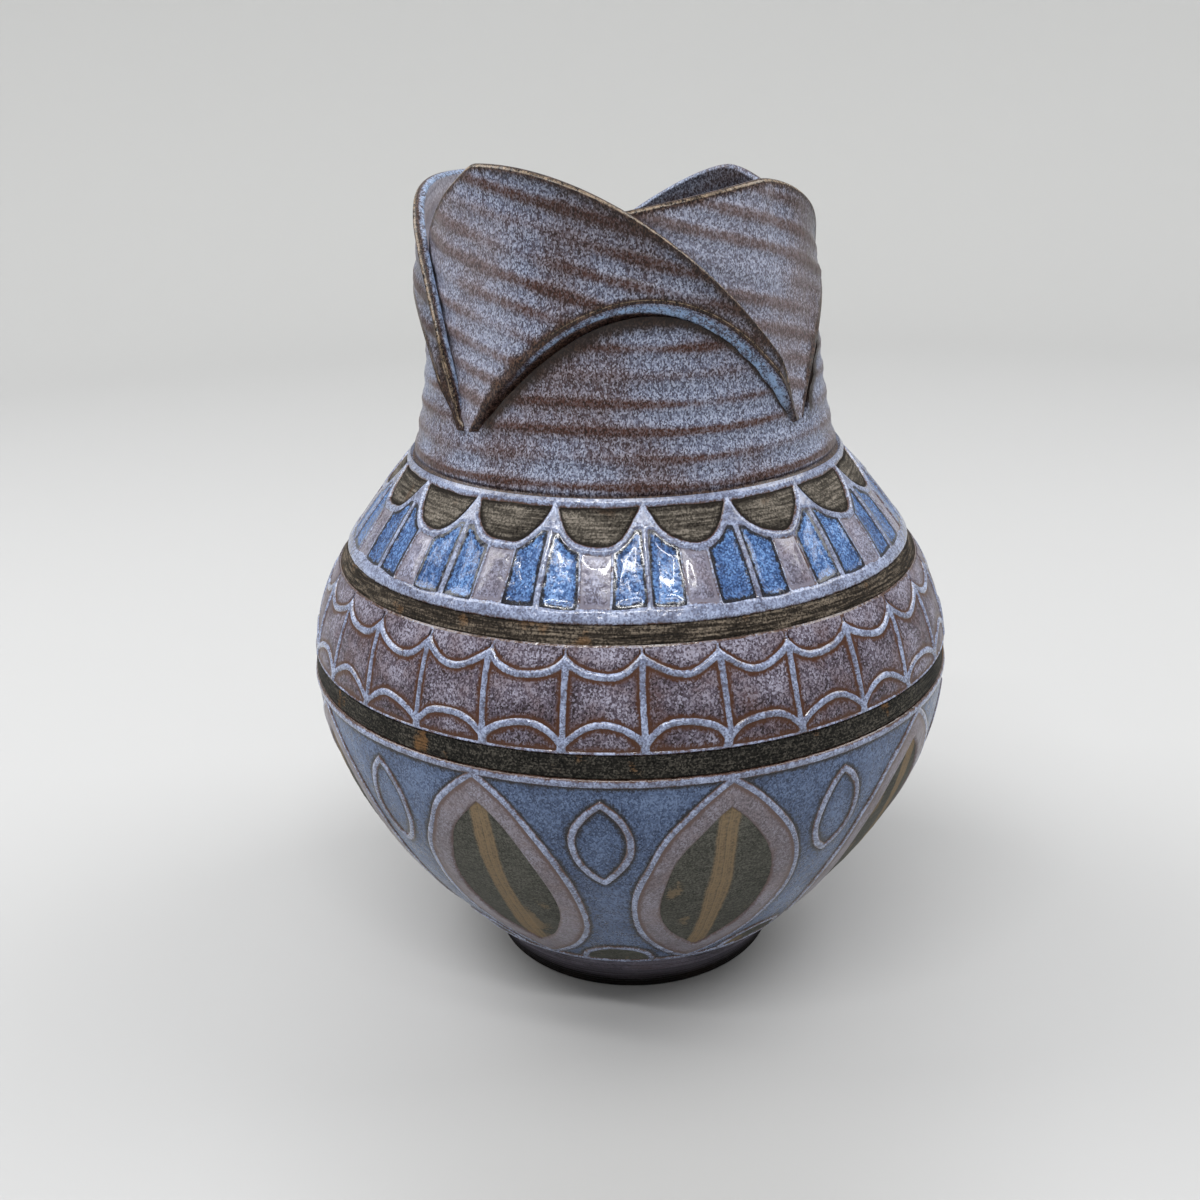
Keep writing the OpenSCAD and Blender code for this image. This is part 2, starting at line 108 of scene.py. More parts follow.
def bezier(points: Sequence[Sequence[float]], count: int) -> Array:
    """Third-degree curve through its first and last control point, as count points of radius and height."""
    t = shares(count)
    a, b, c, d = (np.array(p, dtype=float) for p in points)
    return (1 - t) ** 3 * a + 3 * (1 - t) ** 2 * t * b + 3 * (1 - t) * t**2 * c + t**3 * d


def polar(radius: Array, azimuth: Array, z: Array) -> Array:
    """Points at a radius, an azimuth and a height: x = r sin(az), y = -r cos(az).

    Args:
        radius: Distances from the axis.
        azimuth: Degrees from the front.
        z: Heights.

    Returns:
        An array of the broadcast shape with a last axis of 3.
    """
    a = np.radians(azimuth)
    return np.stack(np.broadcast_arrays(radius * np.sin(a), -radius * np.cos(a), z), axis=-1)


def linear(colour: Colour) -> tuple[float, float, float, float]:
    """An sRGB colour of 0 to 255 as opaque linear RGBA."""
    parts = [c / 255.0 for c in colour]
    return tuple(c / 12.92 if c <= 0.04045 else ((c + 0.055) / 1.055) ** 2.4 for c in parts) + (1.0,)


# Meshes


def grid_faces(rows: int, cols: int, wrap_rows: bool, wrap_cols: bool) -> Array:
    """Quads of a grid of points that is numbered row by row.

    Args:
        rows: Rows of points.
        cols: Points in a row.
        wrap_rows: Whether the last row joins the first.
        wrap_cols: Whether a row's last point joins its first.

    Returns:
        Point numbers, four for each quad.
    """
    i = np.arange(rows if wrap_rows else rows - 1)[:, None]
    j = np.arange(cols if wrap_cols else cols - 1)[None, :]
    up, right = (i + 1) % rows, (j + 1) % cols
    quads = np.broadcast_arrays(i * cols + j, i * cols + right, up * cols + right, up * cols + j)
    return np.stack(quads, axis=-1).reshape(-1, 4)


def signed_volume(points: Array, faces: Sequence[Array]) -> float:
    """Volume in closed faces: the sum of a . (b x c) / 6 over fans of triangles, over 0 if outward."""
    total = 0.0
    for block in faces:
        for k in range(1, block.shape[1] - 1):
            a, b, c = points[block[:, 0]], points[block[:, k]], points[block[:, k + 1]]
            total += float(np.einsum("ij,ij->", a, np.cross(b, c))) / 6.0
    return total


@dataclass
class Solid:
    """A closed mesh in the making: points, blocks of faces, and named numbers on the points."""

    points: Array
    faces: list[Array]
    layers: dict[str, Array] = field(default_factory=dict)

    @classmethod
    def torus(cls, grid: Array, layers: dict[str, Array] | None = None) -> "Solid":
        """A grid of points whose rows and columns both join up, such as a ring of a closed section."""
        rows, cols = grid.shape[:2]
        values = {name: np.broadcast_to(v, (rows, cols)).ravel() for name, v in (layers or {}).items()}
        return cls(grid.reshape(-1, 3), [grid_faces(rows, cols, True, True)], values)

    @classmethod
    def slabs(cls, top: Array, base: Array, layers: dict[str, Array] | None = None) -> "Solid":
        """Thin closed patches, each from a grid of top points and a grid of base points under them.

        Args:
            top: Points of shape (patches, rows, cols, 3).
            base: Points of the same shape.
            layers: Numbers that broadcast to (patches, rows, cols), which both sides get.

        Returns:
            One solid that holds every patch.
        """
        count, rows, cols = top.shape[:3]
        size = rows * cols
        number = np.arange(size).reshape(rows, cols)
        edge = np.concatenate([number[0, :-1], number[:-1, -1], number[-1, :0:-1], number[:0:-1, 0]])
        after = np.roll(edge, -1)
        upper = grid_faces(rows, cols, False, False)
        side = np.stack([edge + size, after + size, after, edge], axis=-1)
        patch = np.concatenate([upper, upper[:, ::-1] + size, side])
        shift = (np.arange(count) * 2 * size)[:, None, None]
        points = np.stack([top.reshape(count, size, 3), base.reshape(count, size, 3)], axis=1)
        values = {}
        for name, v in (layers or {}).items():
            one_side = np.broadcast_to(v, (count, rows, cols)).reshape(count, 1, size)
            values[name] = np.repeat(one_side, 2, axis=1).ravel()
        return cls(points.reshape(-1, 3), [(patch[None] + shift).reshape(-1, 4)], values)

    @classmethod
    def joined(cls, parts: Sequence["Solid"]) -> "Solid":
        """Several solids as one, with the layers that they all have."""
        starts = np.cumsum([0] + [len(p.points) for p in parts[:-1]])
        faces = [block + start for p, start in zip(parts, starts) for block in p.faces]
        names = set.intersection(*(set(p.layers) for p in parts))
        return cls(
            np.concatenate([p.points for p in parts]),
            faces,
            {name: np.concatenate([p.layers[name] for p in parts]) for name in names},
        )

    def piece(self, node: str, coat: "Coat", sharp: float = SHARP) -> None:
        """Makes the mesh object that stands for a CAD node and wears a coat.

        Args:
            node: Name of the CAD node, which the piece replaces and shares its name with.
            coat: What the piece is coated with.
            sharp: Angle in degrees over which an edge stays crisp.
        """
        faces = self.faces
        if signed_volume(self.points, faces) < 0:
            faces = [block[:, ::-1] for block in faces]
        corners = np.concatenate([block.ravel() for block in faces]).astype(np.int32)
        sizes = np.concatenate([np.full(len(block), block.shape[1]) for block in faces])
        name = f"{node}_dressed"
        mesh = bpy.data.meshes.new(name)
        mesh.vertices.add(len(self.points))
        mesh.vertices.foreach_set("co", (self.points * MM).astype(np.float32).ravel())
        mesh.loops.add(len(corners))
        mesh.loops.foreach_set("vertex_index", corners)
        mesh.polygons.add(len(sizes))
        mesh.polygons.foreach_set("loop_start", (np.cumsum(sizes) - sizes).astype(np.int32))
        mesh.polygons.foreach_set("use_smooth", np.ones(len(sizes), dtype=bool))
        for layer, values in self.layers.items():
            store = mesh.attributes.new(layer, "FLOAT", "POINT")
            store.data.foreach_set("value", np.ascontiguousarray(values, dtype=np.float32))
        mesh.update(calc_edges=True)
        mesh.validate()
        mesh.set_sharp_from_angle(angle=math.radians(sharp))
        mesh.materials.append(coat.value.material())
        thing = bpy.data.objects.new(name, mesh)
        bpy.context.scene.collection.objects.link(thing)
        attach(thing, "root")
        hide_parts(node)
        LOG.info("%s: %d points, %d faces", name, len(self.points), len(sizes))


# Finishes


class Graph:
    """A material's node tree, with short calls for the nodes that the finishes share."""

    def __init__(self, name: str, **sockets: float) -> None:
        """Starts a material whose shader sockets have the given even values."""
        self.stuff = bpy.data.materials.new(name)
        self.stuff.use_nodes = True
        self.tree = self.stuff.node_tree
        self.shader = self.tree.nodes["Principled BSDF"]
        for label, value in sockets.items():
            self.shader.inputs[label.replace("_", " ")].default_value = value

    def feed(self, socket: Socket, value: Socket | float | tuple) -> None:
        """Links a socket to another one, or sets it to a value."""
        if isinstance(value, bpy.types.NodeSocket):
            self.tree.links.new(value, socket)
        else:
            socket.default_value = value

    def node(self, kind: str, inputs: Mapping[str | int, Socket | float | tuple], **settings: str) -> Node:
        """A new shader node.

        Args:
            kind: Its type, less the prefix that all have.
            inputs: What its input sockets are linked or set to, by their names or numbers.
            settings: Its other settings.

        Returns:
            The node.
        """
        node = self.tree.nodes.new(f"ShaderNode{kind}")
        for name, value in settings.items():
            setattr(node, name, value)
        for socket, value in inputs.items():
            self.feed(node.inputs[socket], value)
        return node

    def place(self, stretch: tuple[float, float, float] = (1.0, 1.0, 1.0)) -> Socket:
        """Object coordinates, each times its stretch."""
        coords = self.node("TexCoord", {}).outputs["Object"]
        return self.node("VectorMath", {0: coords, 1: stretch}, operation="MULTIPLY").outputs[0]

    def layer(self, name: str) -> Socket:
        """A number stored on the piece's points."""
        return self.node("Attribute", {}, attribute_name=name).outputs["Fac"]

    def noise(self, place: Socket, grain: float, detail: float = 2.0, rough: float = 0.55) -> Socket:
        """Cloudy noise around 0.5.

        Args:
            place: Coordinates that it is read at.
            grain: Size of its features in millimetres.
            detail: Number of finer layers.
            rough: Strength of each finer layer.

        Returns:
            The noise value.
        """
        inputs = {"Vector": place, "Scale": 1.0 / (grain * MM), "Detail": detail, "Roughness": rough}
        return self.node("TexNoise", inputs).outputs["Fac"]

    def grains(self, grain: float, upright: float = 1.0) -> Socket:
        """Grains from 0 to 1, each cell with a tone of its own, broken up by noise of the same size.

        Args:
            grain: Size of the cells in millimetres.
            upright: How much longer they are upright than across.

        Returns:
            The tone.
        """
        place = self.place((1.0, 1.0, 1.0 / upright))
        cells = self.node("TexVoronoi", {"Vector": place, "Scale": 1.0 / (grain * MM)}).outputs["Color"]
        tone = self.sum((cells, 0.6), (self.noise(place, grain * 1.6), 0.4))
        return self.spread(tone, 0.24, 0.76)

    def fibres(self, value: Socket, grain: float) -> Socket:
        """Noise along one value in millimetres, for the hairs of a brush."""
        inputs = {"W": value, "Scale": 1.0 / grain}
        return self.node("TexNoise", inputs, noise_dimensions="1D").outputs["Fac"]

    def specks(self, grain: float, upright: float = 1.0) -> Socket:
        """Hard specks from 0 to 1 of a size in millimetres, drawn out upright by a share."""
        return self.spread(self.noise(self.place((1.0, 1.0, 1.0 / upright)), grain, 1.0, 0.6), 0.34, 0.66)

    def math(self, kind: str, a: Socket | float, b: Socket | float, c: Socket | float = 0.0) -> Socket:
        """One step of arithmetic on two values, or three for MULTIPLY_ADD."""
        return self.node("Math", {0: a, 1: b, 2: c}, operation=kind).outputs[0]

    def sum(self, *terms: tuple[Socket, float], base: float = 0.0) -> Socket:
        """Sum of a base and of values, each times its weight."""
        total: Socket | float = base
        for value, weight in terms:
            total = self.math("MULTIPLY_ADD", value, weight, total)
        return total

    def spread(self, value: Socket, low: float, high: float, to: tuple[float, float] = (0.0, 1.0)) -> Socket:
        """Smooth step of a value between two limits, carried to another range."""
        inputs = dict(zip(("Value", "From Min", "From Max", "To Min", "To Max"), (value, low, high) + to))
        return self.node("MapRange", inputs, interpolation_type="SMOOTHSTEP").outputs["Result"]

    def ramp(self, value: Socket, stops: Sequence[tuple[float, Colour]]) -> Socket:
        """Colours along a value from 0 to 1."""
        node = self.node("ValToRGB", {"Fac": value})
        marks = node.color_ramp.elements
        while len(marks) < len(stops):
            marks.new(0.5)
        for mark, (where, colour) in zip(marks, stops):
            mark.position = where
            mark.color = linear(colour)
        return node.outputs["Color"]

    def mix(self, share: Socket, a: Socket | Colour, b: Socket | Colour) -> Socket:
        """Colour that goes from a to b as the share goes from 0 to 1."""
        a, b = (linear(c) if isinstance(c, tuple) else c for c in (a, b))
        return self.node("Mix", {0: share, 6: a, 7: b}, data_type="RGBA").outputs[2]

    def bump(self, height: Socket, depth: float, under: Socket | None = None) -> Socket:
        """Shading relief of a height of 0 to 1 over a depth in millimetres, over another one."""
        inputs = {"Distance": depth * MM, "Height": height}
        if under is not None:
            inputs["Normal"] = under
        return self.node("Bump", inputs).outputs["Normal"]

    def done(self, colour: Socket, rough: Socket, normal: Socket) -> bpy.types.Material:
        """Links the shader's colour, roughness and normal and gives the material."""
        for label, value in (("Base Color", colour), ("Roughness", rough), ("Normal", normal)):
            self.feed(self.shader.inputs[label], value)
        return self.stuff


@dataclass(frozen=True)
class Finish:
    """A coat with a name; each kind of coat says how its material is made."""

    name: str

    def material(self) -> bpy.types.Material:
        """The coat's material, made once and shared by the pieces that wear it."""
        return bpy.data.materials.get(self.label) or self.mixed()

    @property
    def label(self) -> str:
        """Name of the material."""
        return f"{self.name}_finish"

    def mixed(self) -> bpy.types.Material:
        """Makes the material."""
        raise NotImplementedError


@dataclass(frozen=True)
class MottledGlaze(Finish):
    """Satin glaze that floats pale specks over plum and breaks brown on rings and cut edges.

    It reads ring (1 on the crest of a throwing ring), edge (distance from a cut edge in mm, under 0 on the
    ridge of it where a highlight is painted; near 0 its brown and black also paint the shadow under the
    lips), cut (1 on a cut face where the glaze pools) and coat (from -1, dark, to 1, pale: it paints the
    shadow under the lips, the shade inside the back petal and the light inside the left petal, and paler or
    darker glaze elsewhere).
    """

    deep: Colour = (36, 22, 20)
    plum: Colour = (79, 62, 63)
    body: Colour = (107, 100, 109)
    pale: Colour = (169, 164, 175)
    thick_deep: Colour = (42, 38, 49)
    thick_plum: Colour = (78, 79, 96)
    thick_body: Colour = (114, 121, 144)
    thick_pale: Colour = (168, 176, 197)
    burnt: Colour = (28, 15, 13)
    crest: Colour = (72, 43, 33)
    ash: Colour = (100, 87, 91)
    brown: Colour = (54, 34, 25)
    amber: Colour = (86, 62, 46)
    # Dark at the very edge where the glaze breaks thin; also the painted shadow under the lips and on the
    # lip's bevel
    edge_black_and_shadow: Colour = (18, 11, 10)
    # Painted highlight along the ridges of rims and lips, partly a golden break of the glaze
    glint_and_gold: Colour = (156, 136, 114)
    pooled: Colour = (156, 184, 220)
    # thick and thin are the pale and dark ends of the coat layer: thick paints light inside the left petal,
    # thin paints the shadow under the lips and the shade inside the back petal; both also give paler and
    # darker glaze elsewhere
    thick: Colour = (190, 183, 190)
    thin: Colour = (26, 17, 14)

    def mixed(self) -> bpy.types.Material:
        """Specks, streaks and a veil set the tone; rings burn it brown; edges go brown and cut faces blue; a
        highlight is painted on edge ridges, and shadow and shade are painted under the lips and inside the
        back petal.
        """
        g = Graph(self.label, IOR=1.5, Specular_IOR_Level=0.28, Coat_Weight=0.1, Coat_Roughness=0.25)
        speck = g.grains(0.32, 1.5)
        streak = g.specks(1.5, 2.4)
        veil = g.spread(g.noise(g.place(), 26.0, 1.5, 0.4), 0.3, 0.7)
        tone = g.sum((speck, 0.66), (streak, 0.06), (veil, 0.14), base=0.08)
        stops = (0.08, 0.34, 0.58, 0.92)
        lean = (self.deep, self.plum, self.body, self.pale)
        rich = (self.thick_deep, self.thick_plum, self.thick_body, self.thick_pale)
        over_clay, over_glaze = (g.ramp(tone, list(zip(stops, tones))) for tones in (lean, rich))
        pooled_share = g.sum((veil, 0.7), (g.layer("ring"), -0.5), (streak, 0.15), base=0.35)
        coat = g.mix(g.spread(pooled_share, 0.25, 1.1), over_clay, over_glaze)
        rings = g.ramp(tone, [(0.12, self.burnt), (0.5, self.crest), (0.78, self.ash), (0.96, self.body)])
        ring = g.math("MULTIPLY", g.layer("ring"), g.sum((streak, -0.25), (veil, -0.35), base=1.25))
        coat = g.mix(g.spread(ring, 0.05, 0.85), coat, rings)
        # Coat over 0 goes to thick and under 0 to thin: painted light and painted shade, and paler or darker
        # glaze
        depth = g.layer("coat")
        coat = g.mix(g.math("MULTIPLY", depth, g.sum((speck, 0.4), base=0.6)), coat, self.thick)
        wander = g.sum((g.layer("edge"), 1.0), (streak, 0.5), (speck, 0.5))
        # Brown and then black where the glaze breaks at edges; below the collar's cut edge and on the lip's
        # bevel they are painted shadow
        bare = g.ramp(speck, [(0.1, self.burnt), (0.5, self.brown), (0.95, self.amber)])
        coat = g.mix(g.spread(wander, 1.4, 3.3, (0.95, 0.0)), coat, bare)
        coat = g.mix(g.spread(wander, 0.1, 1.1, (0.85, 0.0)), coat, self.edge_black_and_shadow)
        coat = g.mix(g.math("MULTIPLY", depth, g.sum((speck, 0.25), base=-1.0)), coat, self.thin)
        blotch = g.spread(g.sum((streak, 0.5), (speck, 0.5)), 0.2, 0.75, (0.1, 0.95))
        coat = g.mix(g.math("MULTIPLY", g.layer("cut"), blotch), coat, self.pooled)
        # Ridge of an edge: a painted highlight, partly golden glaze, with a smoother finish
        ridge = g.spread(g.layer("edge"), -0.8, -0.1, (1.0, 0.0))
        shine = g.math("MULTIPLY", ridge, g.sum((speck, 0.55), (streak, 0.5), base=-0.1))
        coat = g.mix(shine, coat, self.glint_and_gold)
        rough = g.spread(g.sum((streak, 0.6), (speck, 0.4)), 0.2, 0.8, (0.3, 0.48))
        rough = g.sum((rough, 1.0), (ridge, -0.16))
        relief = g.bump(speck, 0.018, g.bump(streak, 0.06))
        return g.done(coat, rough, relief)


@dataclass(frozen=True)
class TrailedGlaze(Finish):
    """Raised trailed lines: pale blue on top, brown down the flanks where the glaze runs thin.

    It reads ridge, the distance in mm from the foot of the line's flank towards its middle.
    """

    foot: Colour = (30, 20, 15)
    brown: Colour = (84, 56, 38)
    dull: Colour = (90, 84, 94)
    deep: Colour = (81, 82, 100)
    body: Colour = (116, 124, 150)
    pale: Colour = (163, 175, 205)

    def mixed(self) -> bpy.types.Material:
        """Specks set the tone of the crest, and brown and then dark take over down the flank."""
        g = Graph(self.label, IOR=1.5, Coat_Weight=0.25, Coat_Roughness=0.1)
        speck = g.grains(0.42)
        streak = g.specks(2.2, 1.5)
        cloud = g.noise(g.place(), 13.0, 3.0, 0.6)
        tone = g.sum((speck, 0.5), (streak, 0.2), (g.spread(cloud, 0.3, 0.7), 0.25))
        coat = g.ramp(tone, [(0.1, self.deep), (0.45, self.body), (0.85, self.pale)])
        flat = g.sum((g.layer("ridge"), 1.0), (speck, 0.5), (streak, 0.4))
        coat = g.mix(g.spread(flat, 1.8, 2.6, (0.0, 0.8)), coat, self.dull)
        flank = g.sum((g.layer("ridge"), 1.0), (speck, 0.15), (streak, 0.15), (cloud, 0.4), base=-0.35)
        coat = g.mix(g.spread(flank, 0.22, 0.72, (0.95, 0.0)), coat, self.brown)
        coat = g.mix(g.spread(flank, -0.05, 0.32, (0.9, 0.0)), coat, self.foot)
        rough = g.spread(g.sum((streak, 0.6), (speck, 0.4)), 0.2, 0.8, (0.09, 0.24))
        relief = g.bump(speck, 0.018, g.bump(streak, 0.08))
        return g.done(coat, rough, relief)


@dataclass(frozen=True)
class PooledGlaze(Finish):
    """Glaze pooled in a carved field: specks and clouds in the pool, an edge colour along its line.

    It reads rim, the distance in mm inwards from the field's outline.
    """

    deep: Colour
    body: Colour
    pale: Colour
    edge: Colour
    edge_width: float
    stain: Colour = (96, 72, 56)
    stain_share: float = 0.0
    gloss: tuple[float, float] = (0.08, 0.22)
    lacquer: float = 0.4

    def mixed(self) -> bpy.types.Material:
        """Specks set the tone, stains lie in clouds, and the edge colour fades inwards from the rim."""
        g = Graph(
            self.label, IOR=1.5, Specular_IOR_Level=0.2 + 0.6 * self.lacquer, Coat_Weight=self.lacquer,
            Coat_Roughness=0.04)
        speck = g.grains(0.38, 1.2)
        streak = g.specks(2.4, 1.6)
        cloud = g.noise(g.place(), 15.0, 1.5, 0.45)
        inner = g.spread(g.layer("rim"), 1.0, 4.5, (-0.08, 0.08))
        full = g.spread(g.layer("rim"), 6.0, 9.0, (0.0, 0.16))
        clouds = g.spread(cloud, 0.3, 0.7)
        tone = g.sum((speck, 0.68), (streak, 0.08), (clouds, 0.24), (inner, 1.0), (full, 1.0))
        coat = g.ramp(tone, [(0.08, self.deep), (0.5, self.body), (0.92, self.pale)])
        if self.stain_share > 0:
            patch = g.sum((g.noise(g.place(), 8.0, 3.0, 0.6), 1.0), (speck, 0.2))
            coat = g.mix(g.spread(patch, 0.55, 0.78, (0.0, self.stain_share)), coat, self.stain)
        wander = g.sum((g.layer("rim"), 1.0), (streak, 0.3), (speck, 0.3), base=-0.3)
        coat = g.mix(g.spread(wander, 0.0, self.edge_width, (0.95, 0.0)), coat, self.edge)
        rough = g.spread(g.sum((streak, 0.5), (speck, 0.5)), 0.2, 0.8, self.gloss)
        relief = g.bump(speck, 0.014, g.bump(streak, 0.07))
        return g.done(coat, rough, relief)


@dataclass(frozen=True)
class DarkSlip(Finish):
    """Matt dark slip with the fine level lines of the turning tool and thin rust brush marks."""

    deep: Colour
    body: Colour
    pale: Colour
    rust: Colour = (112, 82, 52)
    rust_share: float = 0.8
    brush: float = 1.0
    rust_from: float = 0.67
    lines_share: float = 0.42
    # A shore darkens the outline: painted shadow at the top, a dark border along the sides
    shore: float = 0.0
    stripe: float = 0.0

    def mixed(self) -> bpy.types.Material:
        """Grit and level lines set the tone; rust lies in patches or a brushed stripe; a shore may be
        darkened, partly as painted shadow.

        The stripe reads across, in mm from the middle of the field. The shore reads rim, in mm from its
        outline.
        """
        g = Graph(self.label, IOR=1.45, Specular_IOR_Level=0.1)
        grit = g.grains(0.42)
        lines = g.spread(g.noise(g.place((0.06, 0.06, 1.0)), 0.5, 2.0, 0.5), 0.3, 0.7)
        cloud = g.noise(g.place(), 20.0, 3.0, 0.6)
        clouds = g.spread(cloud, 0.3, 0.7)
        tone = g.sum((grit, 0.8 - self.lines_share), (lines, self.lines_share), (clouds, 0.2))
        coat = g.ramp(tone, [(0.08, self.deep), (0.5, self.body), (0.95, self.pale)])
        patch = g.noise(g.place((1.0, 1.0, 1.0 / self.brush)), 8.0, 2.0, 0.5)
        smear = g.sum((patch, 1.0), (lines, 0.04), (grit, 0.05))
        rusty = g.spread(smear, self.rust_from, self.rust_from + 0.09, (0.0, self.rust_share))
        coat = g.mix(rusty, coat, self.rust)
        if self.stripe > 0:
            across = g.sum((g.layer("across"), 1.0), (g.noise(g.place(), 14.0), 1.4), base=-0.7)
            band = g.spread(g.math("ABSOLUTE", across, 0.0), self.stripe * 0.4, self.stripe * 0.6, (1.0, 0.0))
            hairs = g.spread(g.sum((g.fibres(across, 0.5), 0.8), (grit, 0.2)), 0.3, 0.6, (0.35, 0.95))
            coat = g.mix(g.math("MULTIPLY", band, hairs), coat, self.rust)
        # Shore: painted shadow under the ledge, and a dark border along the rest of the outline
        if self.shore > 0:
            inward = g.sum((g.layer("rim"), 1.0), (grit, 0.3))
            coat = g.mix(g.spread(inward, 0.2, 0.2 + self.shore, (0.9, 0.0)), coat, self.deep)
        rough = g.spread(grit, 0.2, 0.8, (0.6, 0.85))
        relief = g.bump(grit, 0.04, g.bump(lines, 0.06))
        return g.done(coat, rough, relief)


@dataclass(frozen=True)
class BareClay(Finish):
    """Fired clay without glaze: dark, gritty, with turning lines and a brown bloom."""

    deep: Colour
    body: Colour
    pale: Colour
    bloom: Colour
    # Colour above the painted shadow that darkens the foot towards the bottom
    unshaded: Colour = (84, 80, 88)
    unshaded_share: float = 0.0

    def mixed(self) -> bpy.types.Material:
        """Grit and level lines set the tone, with bloom in clouds; a painted shadow may darken it towards the
        bottom.

        The painted shadow reads rim, the height in mm over the edge that the pot stands on, and a paler
        colour takes over higher up.
        """
        g = Graph(self.label, IOR=1.45, Specular_IOR_Level=0.1)
        grit = g.grains(0.5)
        lines = g.spread(g.noise(g.place((0.04, 0.04, 1.0)), 0.9, 2.0, 0.5), 0.25, 0.75)
        cloud = g.noise(g.place(), 15.0, 3.0, 0.6)
        tone = g.sum((grit, 0.4), (lines, 0.32), (g.spread(cloud, 0.3, 0.7), 0.28))
        coat = g.ramp(tone, [(0.1, self.deep), (0.5, self.body), (0.95, self.pale)])
        coat = g.mix(g.spread(cloud, 0.5, 0.75, (0.0, 0.5)), coat, self.bloom)
        # Painted shadow towards the bottom: the base colours stay low, a paler colour takes over higher up
        if self.unshaded_share > 0:
            height = g.sum((g.layer("rim"), 1.0), (lines, 1.6), (grit, 0.8))
            coat = g.mix(g.spread(height, 3.4, 9.5, (0.0, self.unshaded_share)), coat, self.unshaded)
        rough = g.spread(grit, 0.2, 0.8, (0.5, 0.75))
        relief = g.bump(grit, 0.05, g.bump(lines, 0.08))
        return g.done(coat, rough, relief)


@dataclass(frozen=True)
class Paper(Finish):
    """Pale studio paper, with a painted shadow in front of the vase and painted light towards the back."""

    shadow_grey: Colour = (138, 137, 135)
    middle: Colour = (189, 189, 189)
    far_light: Colour = (206, 206, 205)

    def mixed(self) -> bpy.types.Material:
        """A painted shadow in front of the part, painted light towards the back, with wide faint clouds."""
        g = Graph(self.label, IOR=1.3, Specular_IOR_Level=0.1)
        cloud = g.noise(g.place(), 180.0, 2.0, 0.5)
        axes = g.node("SeparateXYZ", {0: g.place()}).outputs
        depth = g.sum((axes["Y"], 1.0), (cloud, 0.02))
        # The painted shadow on the floor in front of the vase: narrow across, fading out both ways in depth
        shadow_aside = g.spread(g.math("ABSOLUTE", axes["X"], 0.0), 0.0, 0.12, (1.0, 0.0))
        front = g.math("MULTIPLY", g.spread(depth, -0.26, -0.14), g.spread(depth, -0.3, 0.05, (1.0, 0.0)))
        coat = g.mix(g.math("MULTIPLY", front, shadow_aside), self.middle, self.shadow_grey)
        # Painted light: paler towards the back
        coat = g.mix(g.spread(depth, 0.5, 1.6), coat, self.far_light)
        rough = g.spread(cloud, 0.3, 0.7, (0.85, 0.95))
        return g.done(coat, rough, g.bump(cloud, 0.1))


class Coat(Enum):
    """The coats of the vase."""

    COLLAR = MottledGlaze("mottled_glaze")
    LINER = PooledGlaze(
        "liner", (40, 38, 46), (66, 66, 80), (104, 106, 124),
        edge=(48, 38, 36), edge_width=0.5, gloss=(0.14, 0.3))
    LINES = TrailedGlaze("line_glaze")
    # The panes' near-black edge is painted shade along the raised lines
    PANES = PooledGlaze(
        "pane_glaze", (34, 54, 92), (64, 96, 148), (112, 152, 206),
        edge=(22, 18, 20), edge_width=0.6, lacquer=0.25)
    PANELS = PooledGlaze(
        "panel_glaze", (84, 79, 91), (122, 121, 140), (164, 168, 194),
        edge=(120, 116, 130), edge_width=0.5, stain=(112, 90, 88), stain_share=0.4, gloss=(0.12, 0.3))
    FIELDS = PooledGlaze(
        "plum_glaze", (36, 25, 28), (88, 79, 92), (158, 156, 173),
        edge=(70, 40, 21), edge_width=0.95, stain=(86, 54, 36), stain_share=0.4,
        gloss=(0.32, 0.5), lacquer=0.1)
    GROUND = PooledGlaze(
        "ground_glaze", (42, 54, 78), (71, 88, 120), (106, 125, 158),
        edge=(36, 33, 34), edge_width=1.2, gloss=(0.24, 0.42), lacquer=0.15)
    MARGINS = PooledGlaze(
        "lilac_glaze", (92, 84, 89), (124, 117, 125), (152, 151, 165),
        edge=(96, 78, 74), edge_width=1.0, stain=(112, 88, 78), stain_share=0.35,
        gloss=(0.28, 0.46), lacquer=0.1)
    UPPER = DarkSlip("upper_slip", (10, 8, 6), (48, 42, 36), (124, 113, 100), rust_share=0.5)
    LOWER = DarkSlip("lower_slip", (8, 8, 7), (36, 35, 32), (90, 86, 79), brush=1.6, lines_share=0.2)
    CORES = DarkSlip(
        "core_slip", (52, 52, 48), (80, 80, 74), (106, 105, 98),
        rust=(136, 117, 92), rust_share=0.6, brush=16.0, rust_from=0.66, lines_share=0.15, stripe=5.5)
    # The lunettes' shore is painted shadow under the ledge and a dark border along the arcs
    LUNETTES = DarkSlip(
        "lunette_slip", (22, 17, 13), (74, 69, 62), (138, 130, 120),
        rust=(82, 60, 42), rust_share=0.5, shore=1.0)
    SKIRT = BareClay("skirt_glaze", (48, 44, 47), (88, 84, 93), (124, 120, 134), bloom=(70, 54, 48))
    # The foot's near-black colours are a painted contact shadow, giving way upwards to a paler colour
    FOOT = BareClay("foot_clay", (5, 4, 4), (15, 12, 11), (32, 27, 24), bloom=(26, 18, 14), unshaded_share=0.9)
    CLAY = BareClay("wall_clay", (44, 38, 34), (78, 68, 60), (112, 98, 86), bloom=(96, 70, 52))


# The clay wall


